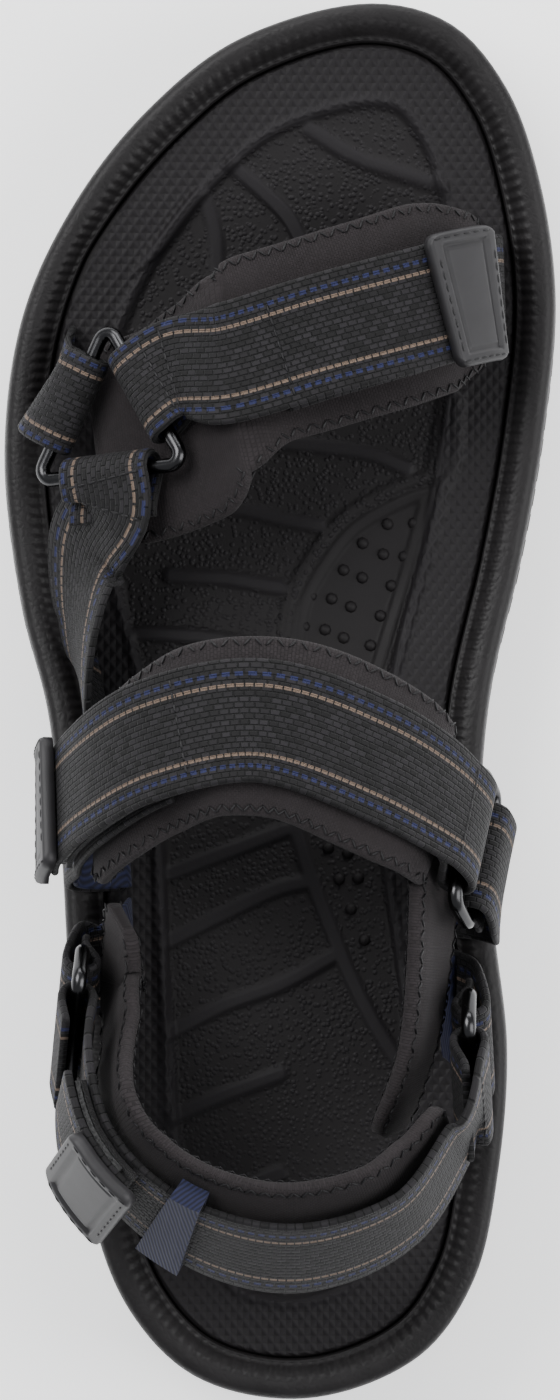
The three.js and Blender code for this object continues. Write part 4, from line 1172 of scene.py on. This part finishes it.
def pad(name, node, route, width, shift=0):
    """A padded band: fat in the middle, thin at its edges, with a narrow bound border and rounded ends."""
    length = route.length

    def plump(u, s):
        from_edge = (1 - abs(u)) * read(width, s) / 2
        from_end = min(s, length - s)
        fill = math.sqrt(max(1 - max(1 - min(from_edge, from_end) / PAD_CROWN_REACH, 0) ** 2, 0))
        channel = 0.25 * math.exp(-(((min(from_edge, from_end) - 2.6) / 0.7) ** 2))
        return PAD_EDGE * min(1, 0.3 + from_edge / 0.8) + (PAD_THICKNESS / 2 - PAD_EDGE) * fill - channel

    def rounded(s):
        short = max(PAD_CORNER - min(s, length - s), 0)
        return read(width, s) - 2 * (PAD_CORNER - math.sqrt(max(PAD_CORNER**2 - short**2, 0)))

    thing = slab(
        name, route, 0, length, neoprene, width=rounded, shift=shift, across=PAD_ACROSS,
        top=plump, bottom=lambda u, s: -PAD_UNDERSIDE * plump(u, s),
    )
    settle(thing, "sandal", "neoprene", node)
    for side in (-1, 1):
        def near_edge(s, side=side):
            return side * (rounded(s) / 2 - SEAM_INSET)

        crown = PAD_EDGE + 0.58 * (PAD_THICKNESS / 2 - PAD_EDGE)
        for face in (crown + 0.12, -PAD_UNDERSIDE * crown - 0.12):
            long_seam("pads", route, 1, length - 1, near_edge, face, shift=shift, slant=0.85, pitch=1.7)


forefoot_pad_route = Route(
    [
        (along(delta_bar(150)[0], (0, 1, 0), -2, delta_out, -under_delta - 1.8), unit(-0.7, 0, 0.7)),
        (along(delta_centre, delta_forward, 4, delta_out, -under_delta - 0.5), delta_out),
        (along(delta_bar(30)[0], delta_out, -under_delta - 0.5), delta_out),
    ]
    + forefoot_route.follow(forefoot_fold - 9, forefoot_fold - 6, PAD_LIFT - 2, 2)
    + forefoot_route.follow(
        forefoot_fold + SECTION_PITCH + 7,
        forefoot_route.length - SLOT_DEPTH - 5,
        lambda s: forefoot_anchor_lift(s) + PAD_LIFT - 1.4,
        7,
    )
)
pad(
    "forefoot_neoprene", "forefoot_pad", forefoot_pad_route,
    shares(forefoot_pad_route, (0, 30), (0.1, 44), (0.26, 46), (0.45, 40), (0.8, 40), (1, 30)),
    shares(forefoot_pad_route, (0, -2), (0.1, -7), (0.26, -6), (0.45, 2), (1, 1)),
)
instep_pad_route = Route(
    instep_route.follow(
        instep_fold + 8, instep_end - 4, lambda s: instep_anchor_lift(s) + PAD_LIFT - 1, 4
    )[::-1]
    + instep_route.follow(EYE_LENGTH + 8, instep_fold - 9, PAD_LIFT - 1.5, 4)[::-1]
    + [
        (along(instep_ring["upper"], instep_ring["out"], -under_delta), instep_ring["out"]),
        (above(30.5, -50, 32), unit(1, 0, 0.3)),
        (above(28, -70, 31), unit(1, -0.1, 0.3)),
        (above(22, -88, 27), unit(0.8, -0.6, 0.3)),
    ]
)
pad(
    "instep_neoprene", "instep_pad", instep_pad_route,
    shares(instep_pad_route, (0, 34), (0.5, 37), (0.7, 27), (1, 19)),
)
heel_pad_start = heel_route.nearest(above(36, HEEL_MEDIAL_SLOT - 27, 38)) - 2
heel_pad_out = unit(-1, 0, 0.35)
heel_pad_route = Route(
    heel_route.follow(heel_pad_start, heel_flap_start - 6, PAD_LIFT - KEEPER_WALL - 1, 9)
    + [
        (along(heel_lateral_ring["upper"], heel_lateral_ring["out"], -under_ring), heel_pad_out),
        (
            along(heel_lateral_ring["lower"], heel_lateral_ring["out"], -under_ring, (0, 1, 0), 4),
            heel_pad_out,
        ),
        (above(-32, HEEL_LATERAL_SLOT + 9, 31), heel_pad_out),
    ]
)
pad(
    "heel_neoprene", "heel_pad", heel_pad_route,
    shares(heel_pad_route, (0, 30), (0.2, 38), (0.6, 36), (0.75, 26), (1, 20)),
)

# ---- Pull tabs --------------------------------------------------------------------------------------------
# Soft rubber, moulded over the end of each strap, with a raised border round a flat panel. A row of
# thread holds each to its strap.

# Moulded rubber: a dark grey satin with a faint cloudy bloom.
tab_rubber, tree, shader = new_material("moulded pull-tab rubber", "#232223", 0.5, Specular_IOR_Level=0.35)
place = on_object(tree)
bloom = add_node(tree, "ShaderNodeTexNoise", {"Vector": place, "Scale": 260.0, "Detail": 6.0})
tint = mix(tree, bloom.outputs["Fac"], "#1d1c1d", "#2b2a2c")
tree.links.new(tint, shader.inputs["Base Color"])
bump(tree, shader, bloom.outputs["Fac"], 0.15, 0.15)

TAB_WIDTH = WEB_WIDTH + 3
TAB_CORNER = 2.6
TAB_BORDER = 2.3
TAB_ACROSS = [k / 40 for k in range(-40, 41)]


def pull_tab(name, node, body, route, start, end, lift):
    def width(s):
        short = max(TAB_CORNER - min(s - start, end - s), 0)
        return TAB_WIDTH - 2 * (TAB_CORNER - math.sqrt(TAB_CORNER**2 - short**2))

    def top(u, s):
        inward = min((1 - abs(u)) * TAB_WIDTH / 2, s - start, end - s)
        rounding = math.sqrt(max(1 - max(1 - inward / 0.9, 0) ** 2, 0.02))
        recess = 0.7 * float(ease((inward - TAB_BORDER) / 0.5))
        panel = 0.35 * float(ease((inward - TAB_BORDER - 1.1) / 0.3))
        return TAB_THICKNESS / 2 * rounding + 0.15 - recess + panel

    tab = slab(
        name, route, start, end, tab_rubber, width=width, lift=lift, across=TAB_ACROSS, step=0.3,
        top=top, bottom=lambda u, s: -TAB_THICKNESS / 2,
    )
    settle(tab, body, "tab_rubber", node)
    for x in (-TAB_WIDTH / 2 + 1.2, TAB_WIDTH / 2 - 1.2):
        long_seam(body, route, start + 1.8, end - 1.6, x, TAB_THICKNESS / 2 + 0.1, lift=lift, pitch=2.1)
    for s in (start + 1.2, end - 1.2):
        cross_seam(body, route, s, TAB_THICKNESS / 2 + 0.1, 9.8, lift=lift)


pull_tab(
    "forefoot_rubber_tab", "forefoot_pull_tab", "forefoot_flap", forefoot_route,
    forefoot_end - TAB_LENGTH + SECTION_PITCH, forefoot_end + SECTION_PITCH, TAB_LIFT,
)
pull_tab(
    "instep_rubber_tab", "instep_pull_tab", "instep_flap", instep_route,
    instep_end - TAB_LENGTH + SECTION_PITCH, instep_end + SECTION_PITCH, TAB_LIFT,
)
pull_tab(
    "heel_rubber_tab", "heel_pull_tab", "heel_flap", heel_route,
    heel_flap_end - SECTION_PITCH, heel_flap_end + TAB_LENGTH - SECTION_PITCH, TAB_LIFT - BASE_LIFT,
)

# ---- Navy tape: the heel keeper and the lining of the rear anchors ----------------------------------------
# Thin woven nylon tape in dark navy. The keeper is a flat loop of it round the heel strap, and short
# lengths of it line the inner faces of the four anchors behind the instep.

# Woven nylon: a dark navy twill with little shine.
navy_tape, tree, shader = new_material(
    "navy woven nylon tape", "#11142a", 0.75, Sheen_Weight=0.05, Specular_IOR_Level=0.25
)
place = on_object(tree)
slanted = add_node(tree, "ShaderNodeMapping", {0: place, 2: (0.6, 0.3, 0.8)}).outputs[0]
twill = wave_in_mm(tree, slanted, 0.8)
twill.inputs["Distortion"].default_value = 1.0
tint = mix(tree, twill.outputs["Fac"], "#0b0d1c", "#1b1f3b")
tree.links.new(tint, shader.inputs["Base Color"])
bump(tree, shader, twill.outputs["Fac"], 0.5, 0.2)
dress("heel_keeper", navy_tape)
for name, route, length, lift in (
    ("instep_lateral_lining", instep_route, 18, instep_anchor_lift),
    ("instep_medial_lining", instep_medial_route, 6, 0),
    ("heel_lateral_lining", heel_lateral_ring["route"], 9, 0),
    ("heel_medial_lining", heel_medial_ring["route"], 9, 0),
):
    low = route.length - SLOT_DEPTH - 2.2
    lining = slab(
        name + "_tape", route, low - length, low, navy_tape, width=WEB_WIDTH - 1, thickness=TAPE_THICKNESS,
        lift=lambda s, lift=lift: read(lift, s) + LINING_LIFT,
    )
    settle(lining, "sandal", "navy_tape", name)

# ---- Hook and loop tape -----------------------------------------------------------------------------------
# Nylon hook tape under each free strap end, and brushed loop tape on the anchor or strap below it.

# Hook tape looks dark and pitted; loop tape looks dull and fuzzy.
hook_tape, tree, shader = new_material("nylon hook tape", "#0a0a0b", 0.6)
place = on_object(tree)
hooks = voronoi_in_mm(tree, place, 0.9)
bump(tree, shader, hooks.outputs["Distance"], 1.0, -0.5)
loop_tape, tree, shader = new_material(
    "brushed loop tape", "#0d0c0d", 0.95, Sheen_Weight=0.15, Specular_IOR_Level=0.2
)
place = on_object(tree)
fuzzy = {"Vector": place, "Scale": 2200.0, "Detail": 6.0, "Distortion": 2.0}
fuzz = add_node(tree, "ShaderNodeTexNoise", fuzzy)
bump(tree, shader, fuzz.outputs["Fac"], 0.9, 0.5)
for strap in ("forefoot", "instep", "heel"):
    for kind, tape in (("hook", hook_tape), ("loop", loop_tape)):
        dress(f"{strap}_{kind}_tape", tape)

# ---- Stitching --------------------------------------------------------------------------------------------
# Thread that holds down the webbing's turned ends and the tabs, and overlocks the pads' edges.

for group, (seats, directions, outwards) in stitches.items():
    body = "sandal" if group == "pads" else group
    size = (2.3, 0.5, 0.45) if group == "pads" else (2.0, 0.6, 0.5)
    sewn = instances(group + "_stitches", seats, directions, outwards, size, thread)
    settle(sewn, body, "striped_webbing")
